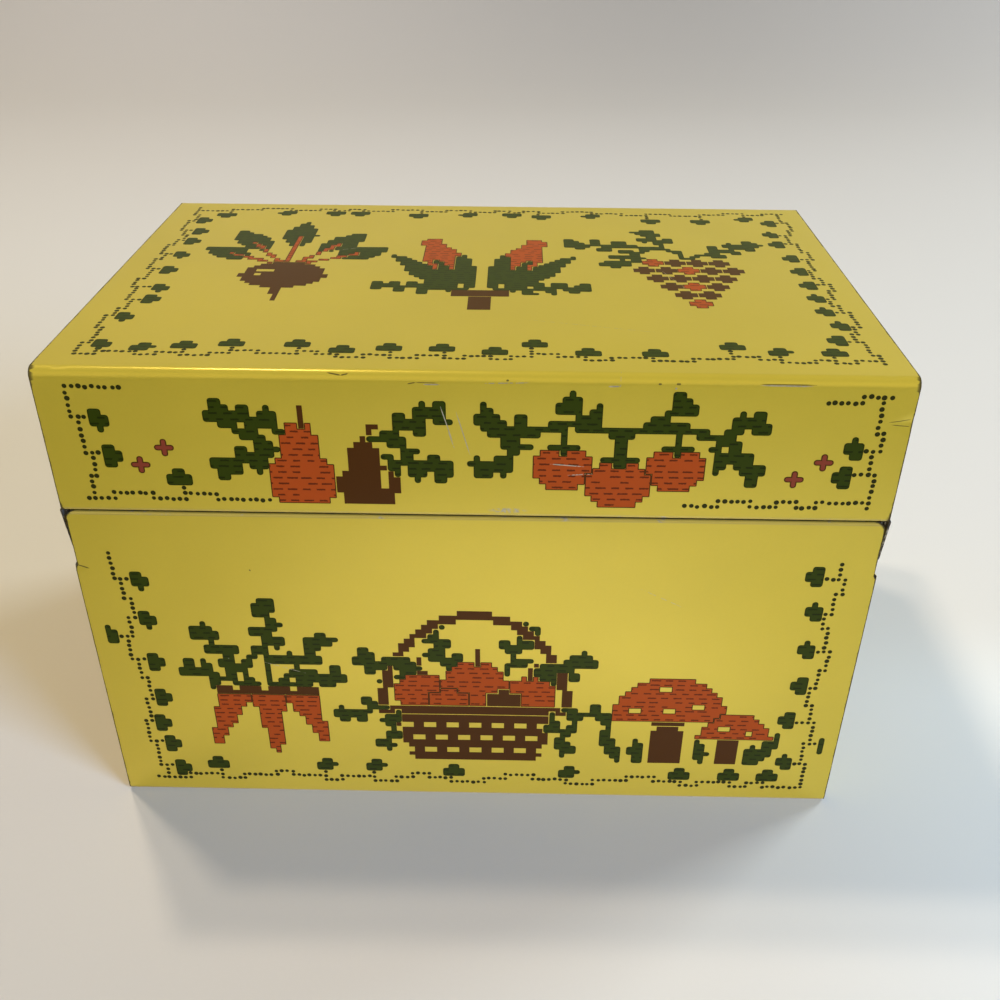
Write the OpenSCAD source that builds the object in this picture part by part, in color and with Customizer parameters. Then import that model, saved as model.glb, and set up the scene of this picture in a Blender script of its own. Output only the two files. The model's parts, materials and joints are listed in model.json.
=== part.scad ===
// Recipe card box of folded tinplate, with a lid on a wire hinge. Millimetres, +Z up.
// The origin is on the base, in the middle of the body. The front faces -Y and the hinge is at +Y.

/* [Box] */
// Width of the box over its end panels
box_w = 136; // [110:1:170]
// Depth of the box without the hinge
box_d = 88; // [70:1:120]
// Height of the body, up to the middle of the seam
body_h = 64.5; // [45:0.5:95]
// Height of the lid, from the middle of the seam
lid_h = 25.5; // [18:0.5:45]
// Gap at the seam, between the hems of the lid and the body
seam_gap = 0.3; // [0.2:0.05:0.6]

/* [Tinplate] */
// Thickness of the sheet
sheet = 0.3; // [0.2:0.05:0.4]
// Outside radius of the folds along the bottom of the body
body_fold_r = 1.2; // [0.9:0.1:3]
// Outside radius of the folds along the top of the lid
lid_fold_r = 1.5; // [1.5:0.1:5]
// Outside radius of the bends round the end panels
end_bend_r = 0.8; // [0.6:0.05:1.1]
// Width of the flanges of the end panels, from the face of the panel
flange_w = 7; // [4:0.5:12]
// Width of the leaf that a hem turns inwards
hem_w = 4; // [2:0.5:7]
// Distance of the strips' side edges from the faces of the end panels
strip_inset = 0.4; // [0.4:0.05:0.8]
// Gap that relieves a corner between two bends
corner_relief = 0.5; // [0.3:0.1:1.5]
// Radius of the upper front corners of the body strip
strip_corner_r = 1.3; // [1:0.1:2.5]

/* [Neck and skirt] */
// Depth of the skirt, the part of the lid's end panels that hangs below the seam
skirt_h = 9.8; // [6:0.1:14]
// Gap between the skirt and the shoulder below it
skirt_gap = 1; // [0.5:0.1:3]
// Gap between the skirt and the neck, at each end
neck_gap = 0.15; // [0.1:0.05:0.4]
// Height of the shoulder, where the body's end panel steps in to the neck
shoulder_h = 0.6; // [0.4:0.1:1.5]
// How far the front edge of the skirt slants back
skirt_slant = 1.6; // [0.5:0.1:4]
// Radius of the lower corners of the skirt
skirt_corner_r = 2; // [0.5:0.1:4]

/* [Hinge] */
// Diameter of the hinge wire
wire_d = 1.6; // [1.2:0.1:2.4]
// Gap between the wire and the curls round it
hinge_gap = 0.05; // [0.02:0.01:0.1]
// Distance of the hinge's outer curls from the faces of the end panels
hinge_inset = 3; // [2:0.5:10]
// How far the wire stands out of the outer curls
wire_end = 0.6; // [0.3:0.1:2]
// Width of each of the body's two curls
loop_w = 18; // [8:1:24]
// Distance between the middles of the body's two curls
loop_pitch = 72; // [40:1:76]
// Gap beside each curl
tab_gap = 0.5; // [0.3:0.1:1.5]
// Gap between a curl and the edge of the other strip
curl_gap = 0.45; // [0.35:0.05:1]
// Turn of a curl in degrees
curl_turn = 270; // [225:15:285]

/* [Hidden] */
$fn = 48;

// Distances over the hem: its bend's inside radius holds one sheet between the two leaves
hem_in_r = sheet / 2;
hem_out_r = hem_in_r + sheet;
hem_t = 2 * hem_out_r;

// Heights of the hemmed edges, measured from the base of the body or from the top of the lid
body_edge_h = body_h - seam_gap / 2;
lid_edge_h = lid_h - seam_gap / 2;

// The end panels lie inside the strips, and the neck lies inside the skirt
end_half_d = box_d / 2 - sheet;
plate_half_d = end_half_d - end_bend_r;
strip_half_w = box_w / 2 - strip_inset;
neck_step = sheet + neck_gap;
shoulder_z = body_h - skirt_h - skirt_gap - shoulder_h;
neck_z = shoulder_z + shoulder_h;

// Hinge axis behind the back wall, at the seam
curl_in_r = wire_d / 2 + hinge_gap;
curl_out_r = curl_in_r + sheet;
hinge_y = box_d / 2 + curl_in_r;
hinge_l = box_w - 2 * hinge_inset;
back_edge_drop = curl_out_r + curl_gap;

body_yellow = "#cdb84e";
lid_yellow = "#d3be55";
bare_wire = "#a9a9a4";

// A strip of sheet seen on edge is a path of steps, each going on from where the last one ended.
// The sheet lies on the left of the path. A positive turn is to the left.
function run(length) = ["run", length];
function jog(length, shift) = ["jog", length, shift];
function bend(turn, inside_r) = ["bend", turn, inside_r];

function turn_of(step) = step[0] == "bend" ? step[1] : 0;
function bend_reach(turn, r) = (turn > 0 ? r + sheet : -r) * [sin(turn), 1 - cos(turn)];
function reach_of(step) =
    step[0] == "run" ? [step[1], 0] :
    step[0] == "jog" ? [step[1], step[2]] :
    bend_reach(step[1], step[2]);
function turned(v, angle) = [v[0] * cos(angle) - v[1] * sin(angle), v[0] * sin(angle) + v[1] * cos(angle)];
function heading(path, i) = i == 0 ? 0 : heading(path, i - 1) + turn_of(path[i - 1]);
function place(path, i) = i == 0 ? [0, 0] : place(path, i - 1) + turned(reach_of(path[i - 1]), heading(path, i - 1));
function arc(centre, r, from, to, steps) = [
    for (k = [0:steps]) let (a = from + (to - from) * k / steps) centre + r * [cos(a), sin(a)]
];

module ring_sector(inside_r, from, turn) {
    far = 2 * (inside_r + sheet);
    steps = ceil(abs(turn) / 60);
    intersection() {
        difference() {
            circle(inside_r + sheet);
            circle(inside_r);
        }
        polygon([[0, 0], each arc([0, 0], far, from, from + turn, steps)]);
    }
}

module sheet_step(step) {
    if (step[0] == "run")
        square([step[1], sheet]);
    if (step[0] == "jog")
        polygon([[0, 0], [step[1], step[2]], [step[1], step[2] + sheet], [0, sheet]]);
    if (step[0] == "bend" && step[1] > 0)
        translate([0, sheet + step[2]]) ring_sector(step[2], -90, step[1]);
    if (step[0] == "bend" && step[1] < 0)
        translate([0, -step[2]]) ring_sector(step[2], 90, step[1]);
}

module sheet_path(start, direction, path) {
    translate(start) rotate(direction)
        for (i = [0:len(path) - 1])
            translate(place(path, i)) rotate(heading(path, i)) sheet_step(path[i]);
}

// Extrude a profile drawn in the YZ plane along X, or one drawn in the XZ plane along Y
module across(width) {
    rotate([90, 0, 90]) linear_extrude(width, center = true) children();
}

module along(depth) {
    rotate([90, 0, 0]) linear_extrude(depth, center = true) children();
}

// The long strip folded into front, base and back, open upwards, with the front edge hemmed inwards.
// The leaf of the hem holds the flanges of the end panels, so it stops at their bends.
module folded_strip(edge_h, back_h, fold_r, leaf_half_w) {
    across(2 * strip_half_w)
        sheet_path([hem_t - box_d / 2, edge_h - hem_out_r], 90, [
            bend(180, hem_in_r),
            run(edge_h - hem_out_r - fold_r),
            bend(90, fold_r - sheet),
            run(box_d - 2 * fold_r),
            bend(90, fold_r - sheet),
            run(back_h - fold_r)
        ]);
    translate([-leaf_half_w, hem_t - sheet - box_d / 2, edge_h - hem_out_r - hem_w])
        cube([2 * leaf_half_w, sheet, hem_w]);
}

// A tab that rises from the back edge of a strip and curls outwards round the hinge wire
module hinge_tab(x, width, back_h, axis_h) {
    translate([x, 0, 0]) across(width)
        sheet_path([box_d / 2, back_h], 90, [run(axis_h - back_h), bend(-curl_turn, curl_in_r)]);
}

// One turned flange of an end panel, drawn at the front edge: it runs to the face and bends up to the plate
module flange(face, edge) {
    sheet_path([face - flange_w, edge], 0, [run(flange_w - end_bend_r), bend(90, end_bend_r - sheet)]);
}

// The same flange on the front and the back edge of a panel, between two heights
module side_flanges(face, low, high) {
    for (side = [0, 1])
        mirror([0, side, 0]) translate([0, 0, low]) linear_extrude(high - low) flange(face, -end_half_d);
}

// The flange along the base of a panel, short enough to leave the corners open
module base_flange(fold_r) {
    along(box_d - 2 * (fold_r + corner_relief)) flange(box_w / 2, sheet);
}

module neck_cut() {
    neck_half_w = strip_half_w - neck_step;
    along(box_d + 2 * hem_t) {
        polygon([
            [box_w / 2, shoulder_z],
            [strip_half_w, shoulder_z],
            [neck_half_w, neck_z],
            [neck_half_w, body_h],
            [box_w / 2, body_h]
        ]);
        polygon([
            [box_w / 2, body_h],
            [neck_half_w - strip_corner_r, body_h],
            each arc([neck_half_w, body_edge_h] - strip_corner_r * [1, 1], strip_corner_r, 90, 0, 8),
            [box_w / 2, body_edge_h - strip_corner_r]
        ]);
    }
}

module body_strip() {
    back_h = body_h - back_edge_drop;
    color(body_yellow) difference() {
        union() {
            folded_strip(body_edge_h, back_h, body_fold_r, box_w / 2 - neck_step - end_bend_r - corner_relief);
            for (side = [-1, 1])
                hinge_tab(side * loop_pitch / 2, loop_w, back_h, body_h);
        }
        for (side = [0, 1])
            mirror([side, 0, 0]) neck_cut();
    }
}

module lid_strip() {
    back_h = lid_h - back_edge_drop;
    loop_out = loop_pitch / 2 + loop_w / 2 + tab_gap;
    loop_in = loop_pitch / 2 - loop_w / 2 - tab_gap;
    color(lid_yellow) translate([0, 0, body_h + lid_h]) mirror([0, 0, 1]) {
        folded_strip(lid_edge_h, back_h, lid_fold_r, box_w / 2 - end_bend_r - corner_relief);
        hinge_tab(0, 2 * loop_in, back_h, lid_h);
        for (side = [-1, 1])
            hinge_tab(side * (loop_out + hinge_l / 2) / 2, hinge_l / 2 - loop_out, back_h, lid_h);
    }
}

// The end panel of the body: flush with the box below, stepped in at the neck and hemmed along the top
module body_end() {
    along(2 * plate_half_d)
        sheet_path([box_w / 2, sheet + end_bend_r], 90, [
            run(shoulder_z - sheet - end_bend_r),
            jog(shoulder_h, neck_step),
            run(body_edge_h - hem_out_r - neck_z),
            bend(180, hem_in_r),
            run(hem_w)
        ]);
    base_flange(body_fold_r);
    side_flanges(box_w / 2, body_fold_r + corner_relief, shoulder_z);
    side_flanges(box_w / 2 - neck_step, neck_z, body_edge_h - strip_corner_r);
}

// The end panel of the lid, drawn with its top down: a plate with the skirt beyond the seam
module lid_end() {
    plate_low = sheet + end_bend_r;
    corner_r = lid_fold_r - plate_low;
    skirt_low = lid_h + skirt_h;
    skirt_front = end_half_d - skirt_slant;
    translate([box_w / 2 - sheet, 0, 0]) rotate([90, 0, 90]) linear_extrude(sheet)
        polygon([
            each arc([corner_r - plate_half_d, lid_fold_r], corner_r, 180, 270, 6),
            each arc([plate_half_d - corner_r, lid_fold_r], corner_r, 270, 360, 6),
            each arc([plate_half_d, skirt_low] - skirt_corner_r * [1, 1], skirt_corner_r, 0, 90, 8),
            each arc([skirt_corner_r - skirt_front, skirt_low - skirt_corner_r], skirt_corner_r, 90, 180, 8),
            [-end_half_d, lid_edge_h],
            [-plate_half_d, lid_edge_h]
        ]);
    base_flange(lid_fold_r);
    side_flanges(box_w / 2, lid_fold_r + corner_relief, lid_edge_h - hem_out_r);
}

module body_end_right() {
    color(body_yellow) body_end();
}

module body_end_left() {
    color(body_yellow) mirror([1, 0, 0]) body_end();
}

module lid_end_right() {
    color(lid_yellow) translate([0, 0, body_h + lid_h]) mirror([0, 0, 1]) lid_end();
}

module lid_end_left() {
    mirror([1, 0, 0]) lid_end_right();
}

module hinge_wire() {
    color(bare_wire) translate([0, hinge_y, body_h]) rotate([0, 90, 0])
        cylinder(d = wire_d, h = hinge_l + 2 * wire_end, center = true);
}

body_strip();
body_end_left();
body_end_right();
lid_strip();
lid_end_left();
lid_end_right();
hinge_wire();
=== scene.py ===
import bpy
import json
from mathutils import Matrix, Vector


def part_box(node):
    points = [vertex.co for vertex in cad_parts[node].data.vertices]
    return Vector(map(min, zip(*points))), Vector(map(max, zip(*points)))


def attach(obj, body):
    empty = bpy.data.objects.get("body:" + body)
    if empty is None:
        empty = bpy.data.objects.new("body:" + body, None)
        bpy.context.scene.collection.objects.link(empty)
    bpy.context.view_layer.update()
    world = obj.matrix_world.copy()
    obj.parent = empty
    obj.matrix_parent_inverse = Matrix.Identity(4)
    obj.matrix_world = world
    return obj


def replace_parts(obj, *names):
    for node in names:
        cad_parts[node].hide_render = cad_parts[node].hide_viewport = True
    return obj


bl_info = {
    "name": "Recipe card box",
    "version": (1, 0, 0),
    "blender": (4, 5, 0),
    "location": "View3D > Sidebar > Recipe box",
    "description": "Printed tinplate recipe card box with a lid on a wire hinge",
    "category": "Object",
}

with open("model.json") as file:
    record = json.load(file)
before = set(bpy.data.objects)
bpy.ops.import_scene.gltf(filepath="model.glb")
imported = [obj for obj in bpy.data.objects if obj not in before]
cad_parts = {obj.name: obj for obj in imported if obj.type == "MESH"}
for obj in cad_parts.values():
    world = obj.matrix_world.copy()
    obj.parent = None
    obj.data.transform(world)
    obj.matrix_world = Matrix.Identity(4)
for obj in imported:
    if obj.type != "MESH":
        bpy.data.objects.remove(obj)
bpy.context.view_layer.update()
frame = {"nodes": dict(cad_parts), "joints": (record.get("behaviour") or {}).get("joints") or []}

import functools
import json
import math
import random

import bmesh
import bpy
import numpy as np
from mathutils import Matrix, Vector

MM = 0.001
BODY = "body"
LID = "lid"
ARC_STEP = math.radians(9)
JOG_STEPS = 8
CORNER_STEPS = 3
COLUMN_STEP = 2.6 * MM
DOT_SHIFT = 0.11
FOLD_WEAR_W = 0.6 * MM
EDGE_WEAR_W = 0.5 * MM
SHARP_ANGLE = math.radians(40)
HINGE_AXIS = frame["joints"][0]["pos_m"]

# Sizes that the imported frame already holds
HALF_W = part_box("body_end_right")[1].x
HALF_D = -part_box("body_strip")[0].y
TOP_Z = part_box("lid_strip")[1].z
SEAM_Z = HINGE_AXIS[2]
BODY_EDGE_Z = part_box("body_end_right")[1].z
SKIRT_LOW_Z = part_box("lid_end_right")[0].z
CURL_IN_R = HINGE_AXIS[1] - HALF_D
HALF_HINGE_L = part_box("hinge_wire")[1].x


def field(name, description, default, **settings):
    return bpy.props.FloatProperty(name=name, description=description, default=default, **settings)


def length_field(name, description, millimetres):
    return field(name, description, millimetres * MM, min=0.0, unit="LENGTH", precision=5)


def angle_field(name, description, degrees):
    return field(name, description, math.radians(degrees), subtype="ANGLE")


def vector_field(name, description, default, **settings):
    return bpy.props.FloatVectorProperty(
        name=name, description=description, default=default, size=3, **settings
    )


def place_field(name, description, default):
    return vector_field(name, description, default, subtype="TRANSLATION", unit="LENGTH")


def colour_field(name, description, default):
    return vector_field(name, description, default, min=0.0, max=1.0, subtype="COLOR")


class TinSizes(bpy.types.PropertyGroup):
    """Sizes of the folded tinplate"""

    sheet: length_field("Sheet", "Thickness of the tinplate", 0.3)
    body_fold_r: length_field("Body folds", "Outside radius of the folds along the base", 1.2)
    lid_fold_r: length_field("Lid folds", "Outside radius of the folds along the top", 1.5)
    end_bend_r: length_field("End bends", "Outside radius of the bends round the end panels", 0.8)
    flange_w: length_field("Flanges", "Width of the end panels' flanges", 7)
    hem_w: length_field("Hems", "Width of the leaf that a hem turns inwards", 4)
    strip_inset: length_field("Strip inset", "Distance of the strips' side edges from the end faces", 0.4)
    corner_relief: length_field("Corner relief", "Gap between two bends at a corner", 0.5)
    strip_corner_r: length_field("Strip corner", "Radius of the body strip's upper corners", 1.3)
    seam_gap: length_field("Seam gap", "Gap between the hems at the seam", 0.3)
    neck_gap: length_field("Neck gap", "Gap between the skirt and the neck", 0.15)
    skirt_gap: length_field("Skirt gap", "Gap between the skirt and the shoulder", 1)
    shoulder_h: length_field("Shoulder", "Height of the step to the neck", 0.6)
    skirt_slant: length_field("Skirt slant", "How far the skirt's front edge slants back", 1.6)
    skirt_corner_r: length_field("Skirt corner", "Radius of the skirt's lower corners", 2)
    loop_w: length_field("Body curls", "Width of each of the body's hinge curls", 18)
    loop_pitch: length_field("Curl pitch", "Distance between the body's hinge curls", 72)
    tab_gap: length_field("Curl gap", "Gap beside each hinge curl", 0.5)
    curl_gap: length_field("Edge gap", "Gap between a curl and the other strip's edge", 0.45)
    wire_end: length_field("Wire end", "How far the hinge wire stands out", 0.6)
    curl_turn: angle_field("Curl turn", "Turn of a hinge curl", 270)
    warp: length_field("Warp", "How far the panels sag inwards between their folds", 0.16)
    dent: length_field("Dent", "Depth of the small dent at the right edge of the lid", 0.35)


class PrintSizes(bpy.types.PropertyGroup):
    """Sizes of the stitched pattern"""

    stitch: length_field("Stitch", "Width and height of one stitch of the pattern", 1.05)
    round_r: length_field("Rounding", "Radius of the corners of a stitched shape", 0.36)
    outline: length_field("Outline", "Width of the dark outline round a shape", 0.17)
    proud: length_field("Ink height", "How far the ink stands out of the enamel", 0.018)
    sunk: length_field("Ink depth", "How far the ink reaches below the enamel's face", 0.03)
    dot: length_field("Dot", "Diameter of the dots of the border", 0.80)


class PaintColours(bpy.types.PropertyGroup):
    """Colours of the enamel, the inks and the bare metal"""

    enamel: colour_field("Enamel", "Yellow enamel of the outside", (0.62, 0.475, 0.042))
    green: colour_field("Green", "Green ink", (0.027, 0.040, 0.0012))
    orange: colour_field("Orange", "Orange red ink", (0.37, 0.060, 0.007))
    brown: colour_field("Brown", "Brown ink", (0.064, 0.021, 0.002))
    stem: colour_field("Stem", "Dark olive ink of the border", (0.024, 0.024, 0.003))
    flower: colour_field("Flower", "Dull red ink of the small flowers", (0.21, 0.040, 0.020))
    tin: colour_field("Tinplate", "Bare tinplate of the inside", (0.82, 0.81, 0.79))
    raw: colour_field("Raw edge", "Cut edge of the sheet", (0.07, 0.062, 0.055))
    wear: field("Wear", "How much enamel has worn off the folds", 0.5, min=0.0, max=1.0, subtype="FACTOR")


class StageSettings(bpy.types.PropertyGroup):
    """Camera, floor and lights"""

    camera_at: place_field("Camera", "Place of the camera", (0.00622, -0.19024, 0.15824))
    camera_aim: place_field("Aim", "Point that the camera looks at", (0.00370, 0.0, 0.04059))
    camera_roll: angle_field("Roll", "Turn of the camera about its axis", 0.44)
    lens: field("Lens", "Focal length in millimetres", 38.32)
    lamps: field("Lamps", "Power of each warm lamp in watts", 1.48)
    glint: field("Glint", "Power of the lamp that only the highlight on the fold comes from", 0.8)
    window: field("Window", "Power of the front window in watts", 23.0)
    back_window: field("Back window", "Power of the window behind on the right in watts", 14.0)
    front: field("Front", "Power of the low front light in watts", 3.75)
    high_front: field("High front", "Power of the wide front light in watts", 2.7)
    sky: field("Sky", "Strength of the even light", 0.135)


# Sheet metal: a sheet seen on edge is a path of runs and bends with the sheet on its left


def run(distance, spacing=1.5 * MM):
    return ("run", distance, spacing)


def bend(turn, inside_r):
    return ("bend", math.radians(turn), inside_r)


def jog(distance, shift):
    return ("jog", distance, shift)


def direction(angle):
    return np.array([math.cos(angle), math.sin(angle)])


def left_of(angle):
    return np.array([-math.sin(angle), math.cos(angle)])


def clip(value):
    return min(1.0, max(0.0, value))


def ease(value):
    """0 to 1 with soft ends"""
    t = clip(value)
    return t * t * (3 - 2 * t)


def spaced(distance, spacing):
    """Shares of a run, closer together near its two ends"""
    ends = [c * MM for c in (0.25, 0.6, 1.1, 1.8) if c * MM < distance / 2 - 0.2 * MM]
    low = ends[-1] if ends else 0.0
    count = max(1, math.ceil((distance - 2 * low) / spacing))
    middle = [low + (distance - 2 * low) * k / count for k in range(1, count)]
    points = ends + middle + [distance - c for c in reversed(ends)]
    return [p / distance for p in points] + [1.0]


def wear_at_bend(radius):
    """Sharp bends wear more than wide ones"""
    return 0.55 + 0.45 * math.exp(-max(0.0, radius - 0.5 * MM) / (0.8 * MM))


def walk(start, heading, path, sheet):
    """Rows along a path: places, directions to the sheet's other side, wear at the bends, and step ends"""
    angle = math.radians(heading)
    at = np.array(start, float)
    places = [at]
    normals = [left_of(angle)]
    travelled = [0.0]
    bends = []
    step_ends = [0]
    for kind, size, extra in path:
        begin = travelled[-1]
        if kind == "bend":
            side = 1.0 if size > 0 else -1.0
            radius = extra + sheet if size > 0 else extra
            centre = at + left_of(angle) * side * radius
            count = max(2, math.ceil(abs(size) / ARC_STEP))
            for k in range(1, count + 1):
                a = angle + size * k / count
                places.append(centre - left_of(a) * side * radius)
                normals.append(left_of(a))
                travelled.append(travelled[-1] + abs(size) / count * max(radius, sheet))
            bends.append((begin, travelled[-1], wear_at_bend(radius)))
            angle += size
        else:
            shift = extra if kind == "jog" else 0.0
            steps = [k / JOG_STEPS for k in range(1, JOG_STEPS + 1)] if kind == "jog" else spaced(size, extra)
            for t in steps:
                places.append(at + direction(angle) * size * t + left_of(angle) * shift * ease(t))
                normals.append(left_of(angle))
                travelled.append(begin + size * t)
            if kind == "jog":
                bends.append((begin, travelled[-1], 0.5))
        at = places[-1]
        step_ends.append(len(places) - 1)
    fold = [
        max(worn * math.exp(-max(0.0, low - at, at - high) / FOLD_WEAR_W) for low, high, worn in bends)
        for at in travelled
    ]
    return np.array(places), np.array(normals), np.array(fold), step_ends


def window(value, low, high, soft):
    """1 between low and high, fading to 0 over a soft edge inside them"""
    return ease((value - low) / soft) * ease((high - value) / soft)


def swell(a, b, phase):
    """A slow wave between 0 and 1 over a panel, a and b in metres"""
    turns = (a * 71 + phase, b * 97 - a * 33 + 2.1 * phase, a * 149 + b * 61 + phase)
    return 0.5 + sum(math.sin(turn) for turn in turns) / 6


def warped(p, sizes):
    """The place of a point of the flat box on the slightly warped and dented one"""
    x, y, z = p
    dx = dy = dz = 0.0
    across = window(x, -HALF_W + 2 * MM, HALF_W - 2 * MM, 22 * MM)
    if abs(y) > HALF_D - 1 * MM:
        inwards, phase, margin = (1.0, 0.6, 2 * MM) if y < 0 else (-1.0, 2.9, 6 * MM)
        on_body = window(z, 2 * MM, SEAM_Z - margin, 14 * MM) * swell(x, z, phase)
        on_lid = 0.7 * window(z, SEAM_Z + margin, TOP_Z - 3 * MM, 8 * MM) * swell(x, z, phase + 2)
        dy += inwards * sizes.warp * across * (on_body + on_lid)
    if z > TOP_Z - 1 * MM:
        deep = window(y, -HALF_D + 3 * MM, HALF_D - 3 * MM, 18 * MM)
        dz -= 1.3 * sizes.warp * across * deep * swell(x, y, 4.4)
    if abs(x) > HALF_W - 0.5 * MM:
        deep = window(y, -HALF_D + 2 * MM, HALF_D - 2 * MM, 18 * MM)
        up = window(z, 3 * MM, SKIRT_LOW_Z - 3 * MM, 12 * MM)
        up += window(z, SEAM_Z + 1 * MM, TOP_Z - 2 * MM, 8 * MM)
        dx -= math.copysign(sizes.warp, x) * deep * up * swell(y, z, 1.3 * math.copysign(1, x) + 2)
    if y < -HALF_D + 2 * MM:
        near = window(y, -1.0, -HALF_D + 2 * MM, 1 * MM)
        right, left = HALF_W - x, HALF_W + x
        flared = 0.35 * MM + 0.28 * max(0.0, 3 * MM - right)
        for depth, from_edge, height, width, reach, soft in (
            (1.0, right, 82.6, flared, 3.2, 2.4), (0.5, left, 53.3, 0.4 * MM, 2.6, 1.6)
        ):
            spread = math.exp(-((z - height * MM) / width) ** 2)
            dy += depth * sizes.dent * near * spread * window(from_edge, -1 * MM, reach * MM, soft * MM)
    return (x + dx, y + dy, z + dz)


def linked(name, data):
    obj = bpy.data.objects.new(name, data)
    bpy.context.scene.collection.objects.link(obj)
    return obj


def new_object(name, mesh, body):
    obj = linked(name, mesh)
    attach(obj, body)
    return obj


def sheet_object(name, outer, inner, present, near_edge, grime, body, side=1):
    """A closed sheet from two grids of points, with rims round the cells that are present"""
    rows, cols = outer.shape[:2]
    used = np.zeros((rows, cols), bool)
    for i, j in zip(*np.nonzero(present)):
        used[i:i + 2, j:j + 2] = True
    bm = bmesh.new()
    layers = [bm.verts.layers.float.new(word) for word in ("near_edge", "grime")]
    verts = {}
    sizes = bpy.context.scene.tin_sizes
    for face_side, grid in enumerate((outer, inner)):
        grid[:, :, 0] *= side
        if body == LID:
            grid[:, :, 2] = TOP_Z - grid[:, :, 2]
        for i, j in zip(*np.nonzero(used)):
            vert = bm.verts.new(warped(grid[i, j], sizes))
            for layer, values in zip(layers, (near_edge, grime)):
                vert[layer] = values[i, j]
            verts[face_side, i, j] = vert

    def add_face(material, *corners):
        bm.faces.new([verts[c] for c in corners]).material_index = material

    for i, j in zip(*np.nonzero(present)):
        corners = [(i, j), (i, j + 1), (i + 1, j + 1), (i + 1, j)]
        for face_side in (0, 1):
            add_face(face_side, *((face_side, *c) for c in corners))
        for k, (ni, nj) in enumerate(((i - 1, j), (i, j + 1), (i + 1, j), (i, j - 1))):
            if not (0 <= ni < rows - 1 and 0 <= nj < cols - 1 and present[ni, nj]):
                a, b = corners[k], corners[(k + 1) % 4]
                add_face(2, (0, *a), (0, *b), (1, *b), (1, *a))
    bmesh.ops.recalc_face_normals(bm, faces=bm.faces[:])
    mesh = bpy.data.meshes.new(name)
    bm.to_mesh(mesh)
    bm.free()
    smooth_shading(mesh)
    for material in sheet_materials():
        mesh.materials.append(material)
    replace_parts(new_object(name, mesh, body), name.removesuffix("_sheet"))


def smooth_shading(mesh):
    mesh.polygons.foreach_set("use_smooth", [True] * len(mesh.polygons))
    mesh.set_sharp_from_angle(angle=SHARP_ANGLE)


def edge_distances(half, breaks):
    """Columns across a strip: symmetrical, close together near the side edges, with the breaks among them"""
    close = [half - c * MM for c in (0, 0.2, 0.45, 0.8, 1.3, 2.0, 3.0, 4.0)]
    stops = sorted(set([0.0] + [round(b, 7) for b in breaks]) | {close[-1]})
    positive = []
    for a, b in zip(stops, stops[1:]):
        count = max(1, math.ceil((b - a) / COLUMN_STEP))
        positive += [a + (b - a) * k / count for k in range(count)]
    positive = [p for p in positive if p > 1e-7] + close[::-1]
    return np.array([-p for p in reversed(positive)] + [0.0] + positive)


def corner_cut(radius, past):
    """How far a rounded corner has drawn in, at a distance past its beginning"""
    return radius - math.sqrt(max(0.0, radius ** 2 - past ** 2)) if past > 0 else 0.0


def edge_wear(distance):
    return math.exp(-distance / EDGE_WEAR_W)


def build_strip(name, body, height, edge_h, fold_r, tabs):
    """One strip folded into front, base and back, drawn with its base down. The lid's is turned over."""
    s = bpy.context.scene.tin_sizes
    neck = body == BODY
    hem_in_r = s.sheet / 2
    hem_out_r = hem_in_r + s.sheet
    back_drop = CURL_IN_R + s.sheet + s.curl_gap
    full = HALF_W - s.strip_inset
    neck_step = s.sheet + s.neck_gap
    leaf_half = HALF_W - s.end_bend_r - s.corner_relief - (neck_step if neck else 0.0)
    path = [
        run(s.hem_w),
        bend(180, hem_in_r),
        run(edge_h - hem_out_r - fold_r, 0.6 * MM),
        bend(90, fold_r - s.sheet),
        run(2 * HALF_D - 2 * fold_r),
        bend(90, fold_r - s.sheet),
        run(height - back_drop - fold_r),
        run(back_drop),
        bend(-math.degrees(s.curl_turn), CURL_IN_R),
    ]
    start = (2 * hem_out_r - HALF_D, edge_h - hem_out_r - s.hem_w)
    places, normals, fold, ends = walk(start, 90, path, s.sheet)
    columns = edge_distances(full, [b for tab in tabs for b in tab if b > 0])
    rows, cols = len(places), len(columns)
    outer, inner = np.zeros((2, rows, cols, 3))
    near_edge, grime = np.zeros((2, rows, cols))
    anchor = full - 3 * MM
    shoulder_z = height - (SEAM_Z - SKIRT_LOW_Z) - s.skirt_gap - s.shoulder_h
    for i in range(rows):
        y, z = places[i]
        half = full
        if neck and z > shoulder_z:
            half = full - neck_step * min(1.0, (z - shoulder_z) / s.shoulder_h)
        if neck and y < 0:
            half -= corner_cut(s.strip_corner_r, z - (edge_h - s.strip_corner_r))
        if i <= ends[1]:
            half = min(half, leaf_half)
        elif i <= ends[2]:
            half = min(half, leaf_half + (full - leaf_half) * (i - ends[1]) / (ends[2] - ends[1]))
        scale = (half - anchor) / (full - anchor)
        # The hem's face toward the seam gets painted shadow of the dark gap between the two hems
        rim = clip((-normals[i][1] - 0.62) / 0.16) if i <= ends[1] else 0.0
        for j in range(cols):
            x = columns[j]
            if abs(x) > anchor:
                x = math.copysign(anchor + (abs(x) - anchor) * scale, x)
            outer[i, j] = (x, y, z)
            inner[i, j] = (x, y + normals[i][0] * s.sheet, z + normals[i][1] * s.sheet)
            near_edge[i, j] = max(fold[i], 0.9 * edge_wear(half - abs(x)))
            # Darker towards the side edges: the dark cut edge together with painted shade of the gap to the
            # end panel's bend
            grime[i, j] = max(rim, math.exp(-(half - abs(x)) / ((0.22 + 0.3 * fold[i]) * MM)))
    present = np.ones((rows - 1, cols - 1), bool)
    middles = (columns[1:] + columns[:-1]) / 2
    present[ends[7]:, :] = [any(a < m < b for a, b in tabs) for m in middles]
    sheet_object(name, outer, inner, present, near_edge, grime, body)


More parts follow.
